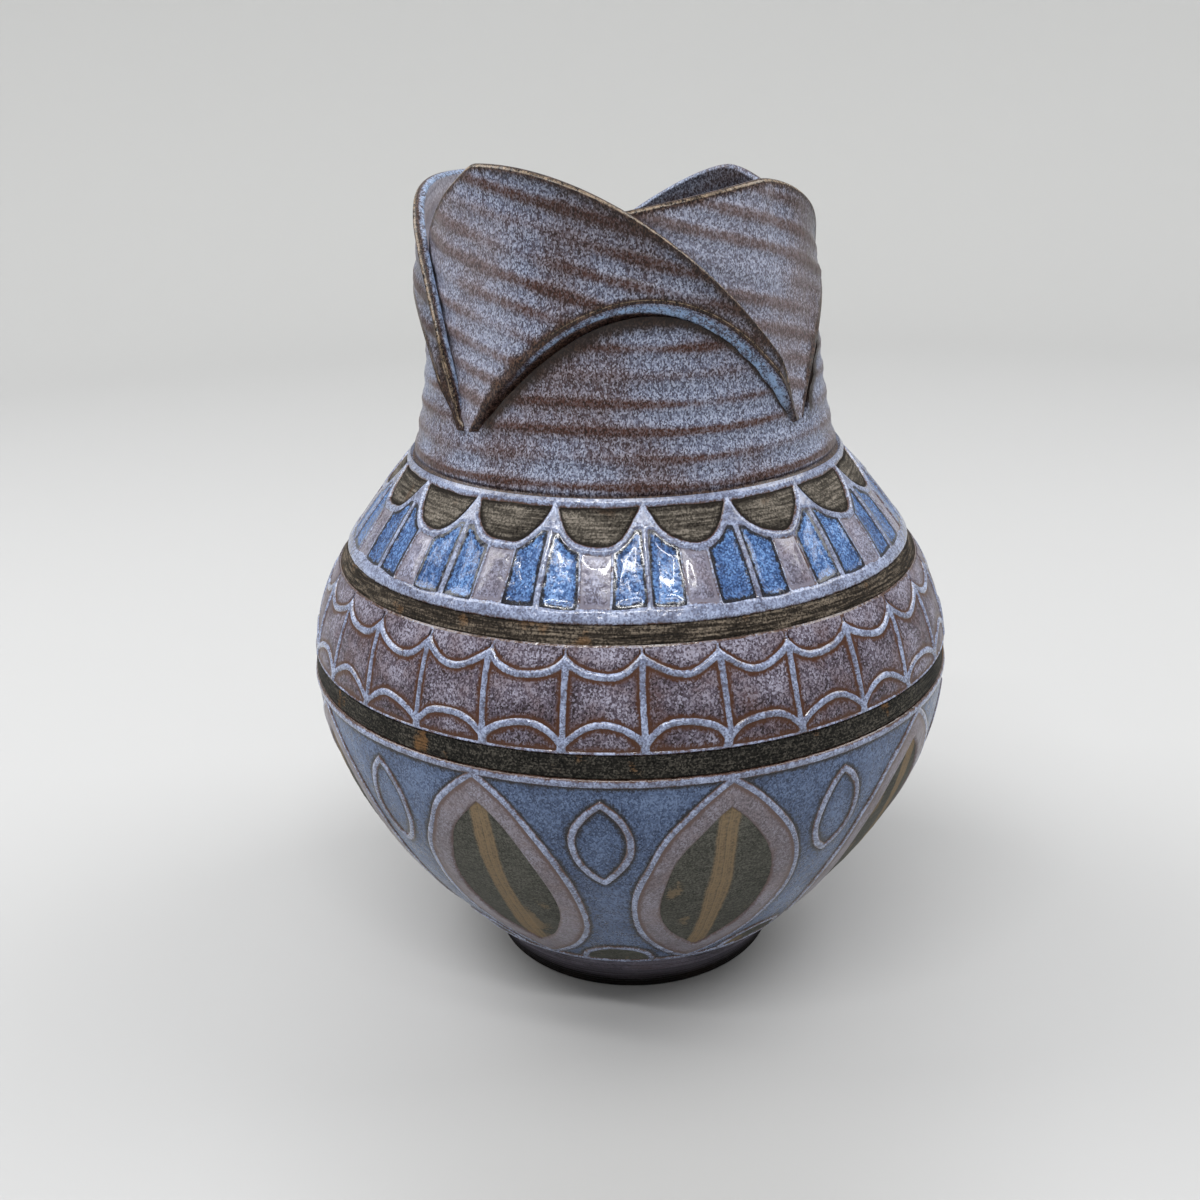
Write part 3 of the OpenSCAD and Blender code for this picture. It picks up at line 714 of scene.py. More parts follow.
@dataclass(frozen=True)
class Wall:
    """Outside of the bowl and the shoulder: two curves that meet upright at the belly."""

    foot_h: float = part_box("foot_ring")[1].z / MM
    belly_r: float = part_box("bowl")[1].x / MM
    shoulder_z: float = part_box("shoulder")[1].z / MM
    foot_top_r: float = 45.4
    belly_z: float = 95.0
    neck_r: float = 59.5
    thickness: float = 6.0
    bowl_full: float = 0.438
    shoulder_full: float = 0.359
    bowl_spread: float = 0.384
    bowl_lift: float = 0.253
    neck_spread: float = 0.549
    neck_drop: float = 0.337

    @cached_property
    def table(self) -> Array:
        """Radius and height along both curves."""
        out = self.belly_r - self.foot_top_r
        up = self.belly_z - self.foot_h
        over = self.shoulder_z - self.belly_z
        neck_out = self.neck_r + self.neck_spread * (self.belly_r - self.neck_r)
        bowl = bezier([
            (self.foot_top_r, self.foot_h),
            (self.foot_top_r + self.bowl_spread * out, self.foot_h + self.bowl_lift * up),
            (self.belly_r, self.belly_z - self.bowl_full * up),
            (self.belly_r, self.belly_z)], 400)
        shoulder = bezier([
            (self.belly_r, self.belly_z),
            (self.belly_r, self.belly_z + self.shoulder_full * over),
            (neck_out, self.shoulder_z - self.neck_drop * over),
            (self.neck_r, self.shoulder_z)], 400)
        return np.concatenate([bowl, shoulder[1:]])

    def radius(self, z: Array) -> Array:
        """Radius of the wall's outside at a height."""
        return np.interp(z, self.table[:, 1], self.table[:, 0])

    def slope(self, z: Array) -> Array:
        """Change of the radius with height, over 1 mm on both sides."""
        over, under = np.minimum(z + 1.0, self.shoulder_z), np.maximum(z - 1.0, self.foot_h)
        return (self.radius(over) - self.radius(under)) / (over - under)

    def inner(self, z: Array) -> Array:
        """Radius of the inside, one wall thickness in along the normal."""
        return self.radius(z) - self.thickness * np.sqrt(1.0 + self.slope(z) ** 2)

    def lifted(self, azimuth: Array, z: Array, lift: Array | float) -> Array:
        """Points over the wall: the wall's point plus the lift along the normal (1, -slope)."""
        m = self.slope(z)
        n = np.sqrt(1.0 + m * m)
        return polar(self.radius(z) + lift / n, azimuth, z - lift * m / n)

    def angle(self, x: Array, z: Array) -> Array:
        """Azimuth in degrees of a sideways distance from the plane through the axis."""
        return np.degrees(np.arcsin(np.clip(x / self.radius(z), -1.0, 1.0)))


WALL = Wall()


def drift(azimuth: Array, z: Array, low: float, high: float) -> tuple[Array, Array]:
    """Wander of hand-drawn work in one course: sines round the pot that fade out at both edges.

    Args:
        azimuth: Degrees from the front.
        z: Heights.
        low: Lower edge of the course.
        high: Upper edge of the course.

    Returns:
        Changes of azimuth in degrees and of height in mm.
    """
    a = np.radians(azimuth)
    q = np.clip((z - low) / (high - low), 0.0, 1.0)
    fade = ease(q, 0.0, 0.2) * ease(1.0 - q, 0.0, 0.2)
    side = (0.5 * np.sin(5 * a + 0.7 + 0.06 * z) + 0.4 * np.sin(13 * a + 2.1 - 0.09 * z)
            + 0.25 * np.sin(31 * a + 0.2 * z))
    rise = 0.35 * np.sin(4 * a + 1.3) + 0.3 * np.sin(11 * a + 0.4) + 0.25 * np.sin(37 * a + 0.05 * z)
    return fade * np.degrees(side / WALL.belly_r), fade * rise


def drawn(azimuth: Array, z: Array, lift: Array | float, low: float, high: float) -> Array:
    """Points of a hand-drawn course: the wall's lifted points, moved by the course's drift."""
    side, rise = drift(azimuth, z, low, high)
    return WALL.lifted(azimuth + side, z + rise, lift)


def turned_ring(
    low: float, high: float, lift: float, groove: float, pitch: float, rows: int, cols: int = 512
) -> Solid:
    """A band with level tool lines: its lift plus a groove depth times a sine of height over the pitch.

    Args:
        low: Lower edge.
        high: Upper edge.
        lift: Thickness of the band.
        groove: Half depth of the tool lines.
        pitch: Distance between the tool lines.
        rows: Points up the band.
        cols: Points round the band.

    Returns:
        The closed ring.
    """
    azimuth = azimuths(cols)
    z = np.linspace(low, high, rows)[:, None]
    a = np.radians(azimuth)
    wave = np.sin(2 * np.pi * z / pitch + 0.5 * np.sin(2 * a) + 0.3 * np.sin(5 * a + 1.0))
    depth = groove * wave * (0.7 + 0.3 * np.sin(z * 1.7 + np.sin(3 * a)))
    rounded = lift * (1.0 - 0.7 * (1.0 - ease(z, low, low + 0.5)) - 0.7 * ease(z, high - 0.5, high))
    outside = WALL.lifted(azimuth, z, rounded + depth)
    inside = WALL.lifted(azimuth, np.linspace(high, low, 4)[:, None], RING_BACK)
    return Solid.torus(np.concatenate([outside, inside]))


def revolved(section: Array, cols: int, layers: dict[str, Array] | None = None) -> Solid:
    """A closed section of radius and height turned round the axis; points on the axis become one pole.

    Args:
        section: Corner points, whose last joins the first.
        cols: Points round the axis.
        layers: One number for each corner point.

    Returns:
        The turned solid.
    """
    grid = polar(section[:, :1], azimuths(cols), section[:, 1:])
    whole = Solid.torus(grid, {k: v[:, None] for k, v in (layers or {}).items()})
    number = np.arange(len(section) * cols).reshape(len(section), cols)
    number[section[:, 0] < 1e-6] = number[section[:, 0] < 1e-6][:, :1]
    quads = number.ravel()[whole.faces[0]]
    flat_low, flat_high = quads[:, 0] == quads[:, 1], quads[:, 2] == quads[:, 3]
    blocks = [
        quads[~flat_low & ~flat_high],
        quads[flat_low & ~flat_high][:, [0, 2, 3]],
        quads[flat_high & ~flat_low][:, [0, 1, 2]],
    ]
    used = np.unique(np.concatenate([b.ravel() for b in blocks]))
    compact = np.zeros(number.size, dtype=int)
    compact[used] = np.arange(len(used))
    return Solid(
        whole.points[used],
        [compact[b] for b in blocks if len(b)],
        {name: values[used] for name, values in whole.layers.items()},
    )


@dataclass
class Body:
    """Foot ring, bowl, shoulder and liner: what is turned on the wheel under the coats."""

    foot_r: float = 43.0
    foot_w: float = 8.0
    foot_flare: float = 2.4
    foot_bevel: float = 0.8
    floor_z: float = 16.0
    seam_z: float = 98.0
    liner_t: float = 0.78
    groove: float = 0.18
    groove_pitch: float = 1.9
    liner_wave: float = 0.12
    liner_pitch: float = 7.0
    liner_floor: float = 0.6
    cols: int = 256

    def foot(self) -> Solid:
        """Foot ring: bevelled feet, a flared outside and shallow tool grooves, a sine to the fourth power."""
        t = np.linspace(0.0, 1.0, 40)
        outer_z = self.foot_bevel + t * (WALL.foot_h - self.foot_bevel)
        cut = self.groove * np.sin(2 * np.pi * outer_z / self.groove_pitch) ** 4 * ease(t, 0.0, 0.1)
        outer_r = self.foot_r + self.foot_flare * t - cut
        inner_r = self.foot_r - self.foot_w
        rest = np.array([[inner_r + self.foot_bevel, 0.0], [self.foot_r - self.foot_bevel, 0.0]])
        inside = np.array([[inner_r - self.foot_flare / 2, WALL.foot_h], [inner_r, self.foot_bevel]])
        section = np.concatenate([rest, pairs(outer_r, outer_z), inside])
        return revolved(section, self.cols, {"rim": section[:, 1]})

    def bowl(self) -> Solid:
        """The wall from the foot to the seam, with the floor closing it."""
        up = np.linspace(WALL.foot_h, self.seam_z, 44)
        down = np.linspace(self.seam_z, self.floor_z, 36)
        outside, inside = pairs(WALL.radius(up), up), pairs(WALL.inner(down), down)
        section = np.concatenate([[[0.0, WALL.foot_h]], outside, inside, [[0.0, self.floor_z]]])
        return revolved(section, self.cols)

    def shoulder(self) -> Solid:
        """The wall from the seam to the collar."""
        up = np.linspace(self.seam_z, WALL.shoulder_z, 40)
        outside, inside = pairs(WALL.radius(up), up), pairs(WALL.inner(up), up)
        return revolved(np.concatenate([outside, inside[::-1]]), self.cols)

    def liner(self) -> Solid:
        """A skin on the inside of the wall and the floor, with the wave of the throwing rings."""
        up = np.linspace(self.floor_z, WALL.shoulder_z, 100)
        back = WALL.inner(up)
        wave = self.liner_wave * np.sin(2 * np.pi * up / self.liner_pitch)
        face_r = back - self.liner_t - wave
        face_z = np.maximum(up, self.floor_z + self.liner_floor)
        spiral_r = np.linspace(0.0, face_r[0], 24)[:-1]
        spiral = pairs(spiral_r, self.floor_z + self.liner_floor + 0.1 * np.cos(spiral_r))
        middle = [[0.0, self.floor_z]]
        section = np.concatenate([spiral, pairs(face_r, face_z), pairs(back, up)[::-1], middle])
        return revolved(section, self.cols, {"rim": np.full(len(section), 4.0)})

    def build(self) -> None:
        """Makes and coats the turned pieces."""
        self.foot().piece("foot_ring", Coat.FOOT, SHARP_FOOT)
        self.bowl().piece("bowl", Coat.CLAY)
        self.shoulder().piece("shoulder", Coat.CLAY)
        self.liner().piece("liner_glaze", Coat.LINER)


# Collar and petals


@dataclass(frozen=True)
class Flap:
    """One petal: its post's azimuth, its rim and how much light (over 0) or shade (under 0) is painted on its
    inside.

    The rim rises to a peak at a share of the span. It falls along the tucked side by the drop for a whole
    span, and to the tip by a power.
    """

    post: float
    rise: float
    peak: float
    drop: float
    fall: float
    # Painted light on the inside over 0, painted shade under 0
    inside: float


class Side(Enum):
    """The four petals by where they stand."""

    # The last number paints the inside: shade in the back petal, light in the left one, a little light in the
    # right one
    FRONT = Flap(-47.0, 63.8, 0.05, 60.0, 2.2, 0.0)
    RIGHT = Flap(51.0, 58.6, -0.08, 13.0, 1.75, 0.2)
    BACK = Flap(138.0, 59.5, -0.02, 30.0, 1.6, -0.8)
    LEFT = Flap(225.0, 60.5, -0.02, 30.0, 3.8, 0.7)

    def next(self, step: int) -> "Side":
        """The petal some steps round from this one."""
        order = list(Side)
        return order[(order.index(self) + step) % len(order)]

    @property
    def span(self) -> float:
        """Degrees from this post to the next one round."""
        return (self.next(1).value.post - self.value.post) % 360.0

    def on_cover(self, s: Array) -> Array:
        """A place on the tucked side as a share of the span of the petal that covers it."""
        return 1.0 + s * self.span / self.next(-1).span


@dataclass(frozen=True)
class FingerRings:
    """Rings that the fingers leave on the wheel, as a sine of height over the pitch."""

    pitch: float = 6.5
    start: float = 169.4
    depth: float = 0.26
    fine_pitch: float = 1.6
    fine_depth: float = 0.05

    def at(self, level: Array, azimuth: Array, patchy: float) -> tuple[Array, Array]:
        """Relief of the rings, whose strength changes round the pot by slow sines.

        Args:
            level: Heights that the rings follow.
            azimuth: Degrees from the front.
            patchy: How much the strength changes along and between the rings.

        Returns:
            The relief in mm, and 0 to 1 towards the crest of a ring.
        """
        a = np.radians(azimuth)
        phase = (level - self.start) / self.pitch + 0.06 * np.sin(2 * a) + 0.05 * np.sin(5 * a)
        along = 0.5 * np.sin(3 * a + 0.23 * level) + 0.4 * np.sin(7 * a - 0.31 * level)
        between = 0.6 * np.sin(2.2 * np.round(phase) + 0.4)
        strength = np.clip(0.78 + 0.12 * np.cos(a) + patchy * (along + between), 0.1, 1.0)
        wave = np.cos(2 * np.pi * phase)
        fine = self.fine_depth * np.cos(2 * np.pi * level / self.fine_pitch + np.sin(3 * a))
        relief = self.depth * wave * (0.5 + 0.5 * strength) + fine
        return relief, (0.5 + 0.5 * wave) ** 1.6 * strength


RINGS = FingerRings()


def flap_faces(rows: int, turn: int, cols: int) -> list[Array]:
    """Faces of a closed section carried along open columns, with both ends closed.

    Args:
        rows: Points up the outside, and down the inside.
        turn: Points round the rim, and along the lip.
        cols: Points along the span.

    Returns:
        The wall's quads, and for each end a strip of quads, a cap at the rim and a cap at the lip.
    """
    loop = 2 * rows + 2 * turn
    outside = np.arange(rows)
    inside = 2 * rows + turn - 1 - outside
    strip = np.stack([outside[:-1], inside[:-1], inside[1:], outside[1:]], axis=-1)
    rim_cap = np.arange(rows - 1, rows + turn + 1)[None, ::-1]
    lip_cap = np.append(np.arange(2 * rows + turn - 1, loop), 0)[None, ::-1]
    first = [strip * cols, rim_cap * cols, lip_cap * cols]
    return [grid_faces(loop, cols, True, False)] + first + [block[:, ::-1] + cols - 1 for block in first]


@dataclass
class Crown:
    """Collar with its cut edge, and the four petals that lap over each other round it."""

    collar_r: float = 53.0
    collar_wall: float = 5.0
    post_rise: float = 13.3
    collar_bend: float = 8.5
    collar_set: float = 25.3
    collar_taper: float = 0.4
    tuck: float = 0.57
    tuck_cols: float = 0.25
    tip_end: float = 0.995
    slit_share: float = 0.4
    slit_start: float = 0.06
    tip_rise: float = 6.0
    arch_rise: float = 32.6
    arch_skew: float = 1.12
    arch_point: float = 0.76
    arch_inset: float = 0.025
    lip_wall: float = 3.4
    rim_wall: float = 2.4
    edge_min: float = 1.5
    crown_r: float = 49.6
    settle_h: float = 27.0
    crown_lean: float = 1.5
    lap: float = 3.9
    lip_curl: float = 1.5
    curl_h: float = 8.0
    lip_bevel: float = 3.2
    pinch_h: float = 9.0
    fit: float = 0.2
    ring_tilt: float = 0.27
    peak_round: float = 0.04
    tuck_gap: float = 0.4
    press_start: float = 0.12
    pinch: float = 0.75
    tip_sink: float = 3.4
    bead: float = 0.9
    bead_h: float = 2.2
    lip_overlap: float = 0.4
    seam_groove: float = 0.55

    @property
    def post_z(self) -> float:
        """Height of the posts."""
        return WALL.shoulder_z + self.post_rise

    @cached_property
    def table(self) -> Array:
        """Radius and height along the collar's outside."""
        z = WALL.shoulder_z
        return bezier([
            (WALL.neck_r, z),
            (WALL.neck_r - self.collar_taper * (WALL.neck_r - self.collar_r), z + self.collar_bend),
            (self.collar_r, z + self.collar_set),
            (self.collar_r, self.post_z + self.arch_rise)], 300)

    def collar_out(self, z: Array) -> Array:
        """Radius of the collar's outside at a height."""
        return np.interp(z, self.table[:, 1], self.table[:, 0])

    def arch_z(self, s: Array) -> Array:
        """Cut arch over a span: post height plus the rise times a skewed sine to a power under 1."""
        q = np.clip((s - self.arch_inset) / (1.0 - 2 * self.arch_inset), 0.0, 1.0)
        wave = np.maximum(0.0, np.sin(np.pi * q**self.arch_skew))
        return self.post_z + self.arch_rise * wave**self.arch_point

    def rim_z(self, side: Side, s: Array) -> Array:
        """Upper edge of a petal: a power fall from the peak to the tip, a rounded fall along the tuck."""
        flap = side.value
        d = s - flap.peak
        down = (flap.rise - self.tip_rise) * (np.maximum(d, 0.0) / (1.0 - flap.peak)) ** flap.fall
        back = flap.drop * (np.sqrt(d * d + self.peak_round**2) - self.peak_round)
        return self.post_z + flap.rise - np.where(d > 0, down, back)

    def seat_z(self, s: Array) -> Array:
        """Cut edge of the collar behind the lips: the arch less the bevel and the fit, over the posts."""
        return np.maximum(self.post_z, self.arch_z(s) - self.lip_bevel - self.fit)

    def low_z(self, side: Side, s: Array) -> Array:
        """Lower edge of a petal: a tucked edge between the collar's edge and the covering rim, then the arch.

        Args:
            side: The petal.
            s: Shares of its span from its post, under 0 on the tucked side.

        Returns:
            Heights, which run down to the post from both sides.
        """
        q = side.on_cover(s)
        seat = self.seat_z(q)
        lower_rim = np.minimum(self.rim_z(side.next(-1), q), self.rim_z(side, s))
        slit = seat + self.slit_share * (lower_rim - seat)
        slit = self.post_z + (slit - self.post_z) * ease(-s, 0.0, self.slit_start)
        return np.where(s < 0.0, slit, np.minimum(self.arch_z(s), self.rim_z(side, s) - self.edge_min))

    def petal_r(self, s: Array, z: Array, low: Array) -> Array:
        """Outside of a petal: it settles to the crown radius, steps out along the span, curls at the lip."""
        settle = (self.collar_out(self.post_z) - self.crown_r) * np.exp(-(z - self.post_z) / self.settle_h)
        swell = self.lip_curl * np.sin(np.pi * np.clip(s, 0.0, 1.0))
        curl = swell * np.exp(-(((z - low) / self.curl_h) ** 2))
        return self.crown_r + settle + self.lap * s + curl

    def press(self, side: Side, s: Array, z: Array) -> Array:
        """How far the tucked side stands out towards the petal that covers it: to a gap from its inside."""
        q = side.on_cover(s)
        foot = self.arch_z(q)
        share = np.clip((z - foot) / np.maximum(self.rim_z(side.next(-1), q) - foot, 1.0), 0.0, 1.0)
        wall = self.lip_wall + (self.rim_wall - self.lip_wall) * share
        return np.maximum(self.lap * (q - s) - wall - self.tuck_gap, 0.0) * ease(-s, 0.0, self.press_start)

    def collar(self) -> Solid:
        """The neck: rings on its outside, a groove at its seam, a top edge cut behind the lips, a painted
        shadow under them and a darker inside.
        """
        cols, rows, back_rows = 640, 76, 20
        azimuth = azimuths(cols)
        seat, shade = np.full((1, cols), self.post_z), np.ones((1, cols))
        for side in Side:
            s = ((azimuth - side.value.post) % 360.0) / side.span
            seat = np.where(s <= 1.0, np.maximum(seat, self.seat_z(s)), seat)
            # shade narrows the painted shadow under the lip over the later part of each span
            shade = np.where(s <= 1.0, 1.0 + 1.2 * ease(s, 0.5, 0.8), shade)
        z = WALL.shoulder_z + shares(rows) * (seat - WALL.shoulder_z)
        relief, crest = RINGS.at(z, azimuth, 0.3)
        over = z - WALL.shoulder_z
        relief = relief * ease(over, 0.5, 4.0) - self.seam_groove * np.exp(-(((over - 0.7) / 0.5) ** 2))
        crest = np.clip(0.6 * crest + 1.0 * crest**8, 0.0, 1.2)
        cut = ease(seat - self.post_z, 0.0, 4.0)
        # Painted shadow under the lips: under gives the edge's brown and black, thin the dark coat colour,
        # both fading downwards from the cut edge and absent over the posts
        below = (seat - z) * shade
        under = 0.4 + 0.3 * below + 0.05 * below**2 + 8.0 * (1.0 - cut)
        thin = -1.1 * cut * np.exp(-((below / 3.6) ** 2))
        outside = polar(self.collar_out(z) + relief, azimuth, z)
        back_z = WALL.shoulder_z + shares(back_rows)[::-1] * (seat - WALL.shoulder_z)
        base = WALL.inner(np.array(WALL.shoulder_z)) - (self.collar_out(WALL.shoulder_z) - self.collar_wall)
        back_r = self.collar_out(back_z) - self.collar_wall + base * np.exp(-(back_z - WALL.shoulder_z) / 5.0)
        grid = np.concatenate([outside, polar(back_r, azimuth, back_z)])
        back = np.ones((back_rows, cols))
        return Solid.torus(grid, {
            "ring": np.concatenate([crest, 0.4 * back]),
            "edge": np.concatenate([np.minimum(0.4 + over * 1.1, under), 6.0 * back]),
            "cut": np.zeros(grid.shape[:2]), "coat": np.concatenate([thin, -0.6 * back])})

    def petal(self, side: Side) -> Solid:
        """One flap as a closed section carried along its span.

        The section runs up the outside, round the rim in a half circle, down the inside and back along
        the bevelled cut of the lip. The lip is pinched thin towards the posts and sinks in at the tip.
        """
        rows, turn, cols = 64, 11, 260
        t = np.linspace(0.0, 1.0, cols) - self.tuck_cols
        tucked, shown = self.tuck * t / self.tuck_cols, 0.5 - 0.5 * np.cos(np.pi * t / (1.0 - self.tuck_cols))
        s = np.minimum(np.where(t < 0.0, tucked, shown), self.tip_end)[None, :]
        low, rim = self.low_z(side, s), self.rim_z(side, s)
        fade = ease(s, 0.9, 1.0)
        rim = rim - 0.8 * fade * (rim - low)
        azimuth = side.value.post + s * side.span
        v = shares(rows)
        v = 0.4 * v + 0.6 * (0.5 - 0.5 * np.cos(np.pi * v))
        pinch = (1.0 - ease(low - self.post_z, 0.0, self.pinch_h)) * ease(s, -0.04, 0.01)
        thick = self.lip_wall + (self.rim_wall - self.lip_wall) * v
        thick = thick * (1.0 - self.pinch * pinch * (1.0 - v) ** 2)
        top = rim - self.rim_wall / 2
        z = low + v * np.maximum(top - low, 0.2)
        level = z + self.ring_tilt * np.radians(s * side.span) * self.crown_r
        relief, crest = RINGS.at(level, azimuth, 0.75)
        calm = ease(z - low, 0.0, 3.0) * ease(rim - z, 0.5, 3.5)
        shell = self.petal_r(s, z, low) - self.tip_sink * fade + self.press(side, s, z)
        swell = np.exp(-(((rim - z) / self.bead_h) ** 2))
        out_r = shell + relief * calm + self.bead * ease(s, 0.0, 0.3) * (1.0 - fade) * swell
        bevel = np.maximum(low - self.seat_z(s) + self.lip_overlap, 0.0)
        in_z = z - np.where(s > 0.0, bevel, 0.0) * (1.0 - v) ** 3
        in_r = shell - thick - 0.5 * relief * calm
        half = np.linspace(0.0, np.pi, turn + 2)[1:-1, None]
        mid_r = (out_r[-1:] + in_r[-1:]) / 2
        rim_r = mid_r + (out_r[-1:] - mid_r) * np.cos(half)
        rim_h = z[-1:] + self.rim_wall / 2 * np.sin(half)
        w = shares(turn + 2)[1:-1]
        lip_r = in_r[:1] + w * (out_r[:1] - in_r[:1])
        lip_h = in_z[:1] + w * (z[:1] - in_z[:1])
        radius = np.concatenate([out_r, rim_r, in_r[::-1], lip_r])
        height = np.concatenate([z, rim_h, in_z[::-1], lip_h])
        grid = polar(radius, azimuth, height)
        grid[..., 0] -= self.crown_lean * (height - self.post_z) / Side.FRONT.value.rise
        solid = Solid.torus(grid, self.petal_marks(side, s, z, low, rim, pinch, crest, half, w))
        solid.faces = flap_faces(rows, turn, cols)
        return solid

    def petal_marks(
        self, side: Side, s: Array, z: Array, low: Array, rim: Array,
        pinch: Array, crest: Array, half: Array, w: Array,
    ) -> dict[str, Array]:
        """What the glaze reads on a petal: rings, distances from its edges, the pooled cut, and a coat of
        painted light or shade inside it, with paler or darker glaze outside.

        A distance up the wall, over the root of one plus the edge's squared slope, is about the distance from
        that edge. Narrow dips below 0 in it give the line along the edge where a highlight is painted, partly
        as golden glaze.

        Args:
            side: The petal.
            s: Shares of its span.
            z: Heights up its outside.
            low: Its lower edge.
            rim: Its upper edge.
            pinch: 1 where the lip is thinnest, by the posts.
            crest: Crests of the finger rings.
            half: Angles round the rim.
            w: Shares of the way along the lip, from the inside.

        Returns:
            The layers, each for the outside, the rim, the inside and the lip.
        """
        rows, cols, turn = *z.shape, len(half)
        arc = s[0] * np.radians(side.span) * self.crown_r + np.arange(cols) * 1e-6
        rim_slope, low_slope = (np.gradient(edge[0], arc)[None, :] for edge in (rim, low))
        flat, blank, skin = np.ones((1, cols)), np.zeros((turn, cols)), np.zeros((rows, cols))
        # pool fades at the span's ends, where the lip's bevel is left in painted shadow
        pool = ease(s, 0.1, 0.34) * (1.0 - ease(s, 0.9, 0.98))
        from_lip = (z - low) / np.sqrt(1.0 + low_slope**2) + 8.0 * (1.0 - ease(s, 0.0, 0.02))
        from_lip = from_lip * (0.7 + 0.5 * ease(s, 0.15, 0.5)) * (1.0 + 2.0 * pinch)
        from_lip = from_lip - 1.5 * pool * np.exp(-(((from_lip - 0.8) / 0.28) ** 2))
        from_rim = (rim - z) / np.sqrt(1.0 + rim_slope**2)
        from_rim = from_rim * (1.0 - 0.45 * ease(np.abs(rim_slope), 1.2, 2.5))
        from_rim = from_rim * (1.0 + 2.0 * pinch * ease(s, 0.5, 0.8))
        from_rim = from_rim - 1.2 * np.exp(-(((from_rim - 0.4) / 0.35) ** 2))
        crown = (0.6 + ease(half, 1.2, 2.4) * 3.0 - 1.7 * np.exp(-(((half - 0.7) / 0.45) ** 2))) * flat
        # bare is 1 on the lit part of the lip's bevel; where it is 0 the bevel takes the edge's black and
        # brown as painted shadow
        bare = ease(w - 0.55 + 0.5 * ease(s, 0.3, 0.75), 0.0, 0.2)
        # The pale pool on the rim and just inside it is cut back in the back petal, as painted shade
        lit_rim_pool = 0.6 + 0.55 * min(side.value.inside, 0.0)
        rim_pool = lit_rim_pool * ease(half, 1.6, 2.3) * flat
        inner_pool = 0.5 * lit_rim_pool * (1.0 - ease(from_rim, 0.0, 1.6))
        # Darker towards the rim on the shown part, paler by the post, darker past about a third of the span
        rim_and_span_tone = -0.36 * np.exp(-((from_rim / 9.0) ** 2)) * ease(s, -0.1, 0.1)
        rim_and_span_tone = rim_and_span_tone + 0.16 - 0.31 * ease(s, 0.08, 0.34)
        outer_edge, inner_edge = np.minimum(from_rim, from_lip), np.minimum(from_rim + 2.5, from_lip + 3.0)
        # The inside's coat carries the petal's painted light or shade
        return {
            "ring": np.concatenate([crest, blank, 0.7 * crest[::-1], blank]),
            "edge": np.concatenate([outer_edge, crown, inner_edge[::-1], 0.4 + 3.0 * bare * pool]),
            "cut": np.concatenate([skin, rim_pool, inner_pool[::-1], pool * ease(1.0 - w, 0.1, 0.3) * bare]),
            "coat": np.concatenate([rim_and_span_tone, blank, side.value.inside + skin, blank])}

    def build(self) -> None:
        """Makes and coats the collar and the petals."""
        self.collar().piece("collar", Coat.COLLAR)
        for side in Side:
            self.petal(side).piece(f"petal_{side.name.lower()}", Coat.COLLAR, SHARP_PETAL)


# Courses on the wall


@dataclass
class Coats:
    """Edges of the courses up the wall, and the thickness of their coats."""

    base_z: float = 17.0
    lower_h: float = 6.0
    scallop_h: float = 23.9
    upper_h: float = 4.1
    ledge: float = 0.8
    line_t: float = 1.0
    line_w: float = 2.4
    glaze_t: float = 0.6
    lilac_t: float = 0.75
    slip_t: float = 0.4

    def __post_init__(self) -> None:
        """Works out the lower edges of the upper three courses and the top of the last one."""
        self.scallop_z = WALL.belly_z + self.lower_h
        self.upper_z = self.scallop_z + self.scallop_h
        self.arcade_z = self.upper_z + self.upper_h
        self.arcade_top = WALL.shoulder_z - self.ledge

    def bands(self) -> None:
        """Makes the two dark bands and the skirt over the foot."""
        for node, coat, low, high, groove, pitch, rows, sharp in (
            ("skirt_glaze", Coat.SKIRT, WALL.foot_h, self.base_z, 0.1, 1.7, 48, SHARP_FOOT),
            ("lower_band", Coat.LOWER, WALL.belly_z, self.scallop_z, 0.05, 0.85, 64, SHARP),
            ("upper_band", Coat.UPPER, self.upper_z, self.arcade_z, 0.06, 0.8, 56, SHARP),
        ):
            turned_ring(low, high, self.slip_t, groove, pitch, rows).piece(node, coat, sharp)


def patches(mids: Array, u: Array, z: Array, lift: Array, rim: Array, low: float, high: float) -> Solid:
    """Closed patches of a course: one grid of azimuth and height, repeated round the pot.

    Args:
        mids: Azimuths that the patch is repeated at.
        u: Degrees from there, of shape (rows, cols).
        z: Heights of the same shape.
        lift: Lifts of the top side, of the same shape.
        rim: Distances inwards from the field's outline, of the same shape.
        low: Lower edge of the course, for its drift.
        high: Upper edge of the course.

    Returns:
        One solid with every patch, whose base lies in the wall.
    """
    azimuth = mids[:, None, None] + u[None]
    top, base = (drawn(azimuth, z[None], out, low, high) for out in (lift, PATCH_BACK))
    return Solid.slabs(top, base, {"rim": rim})


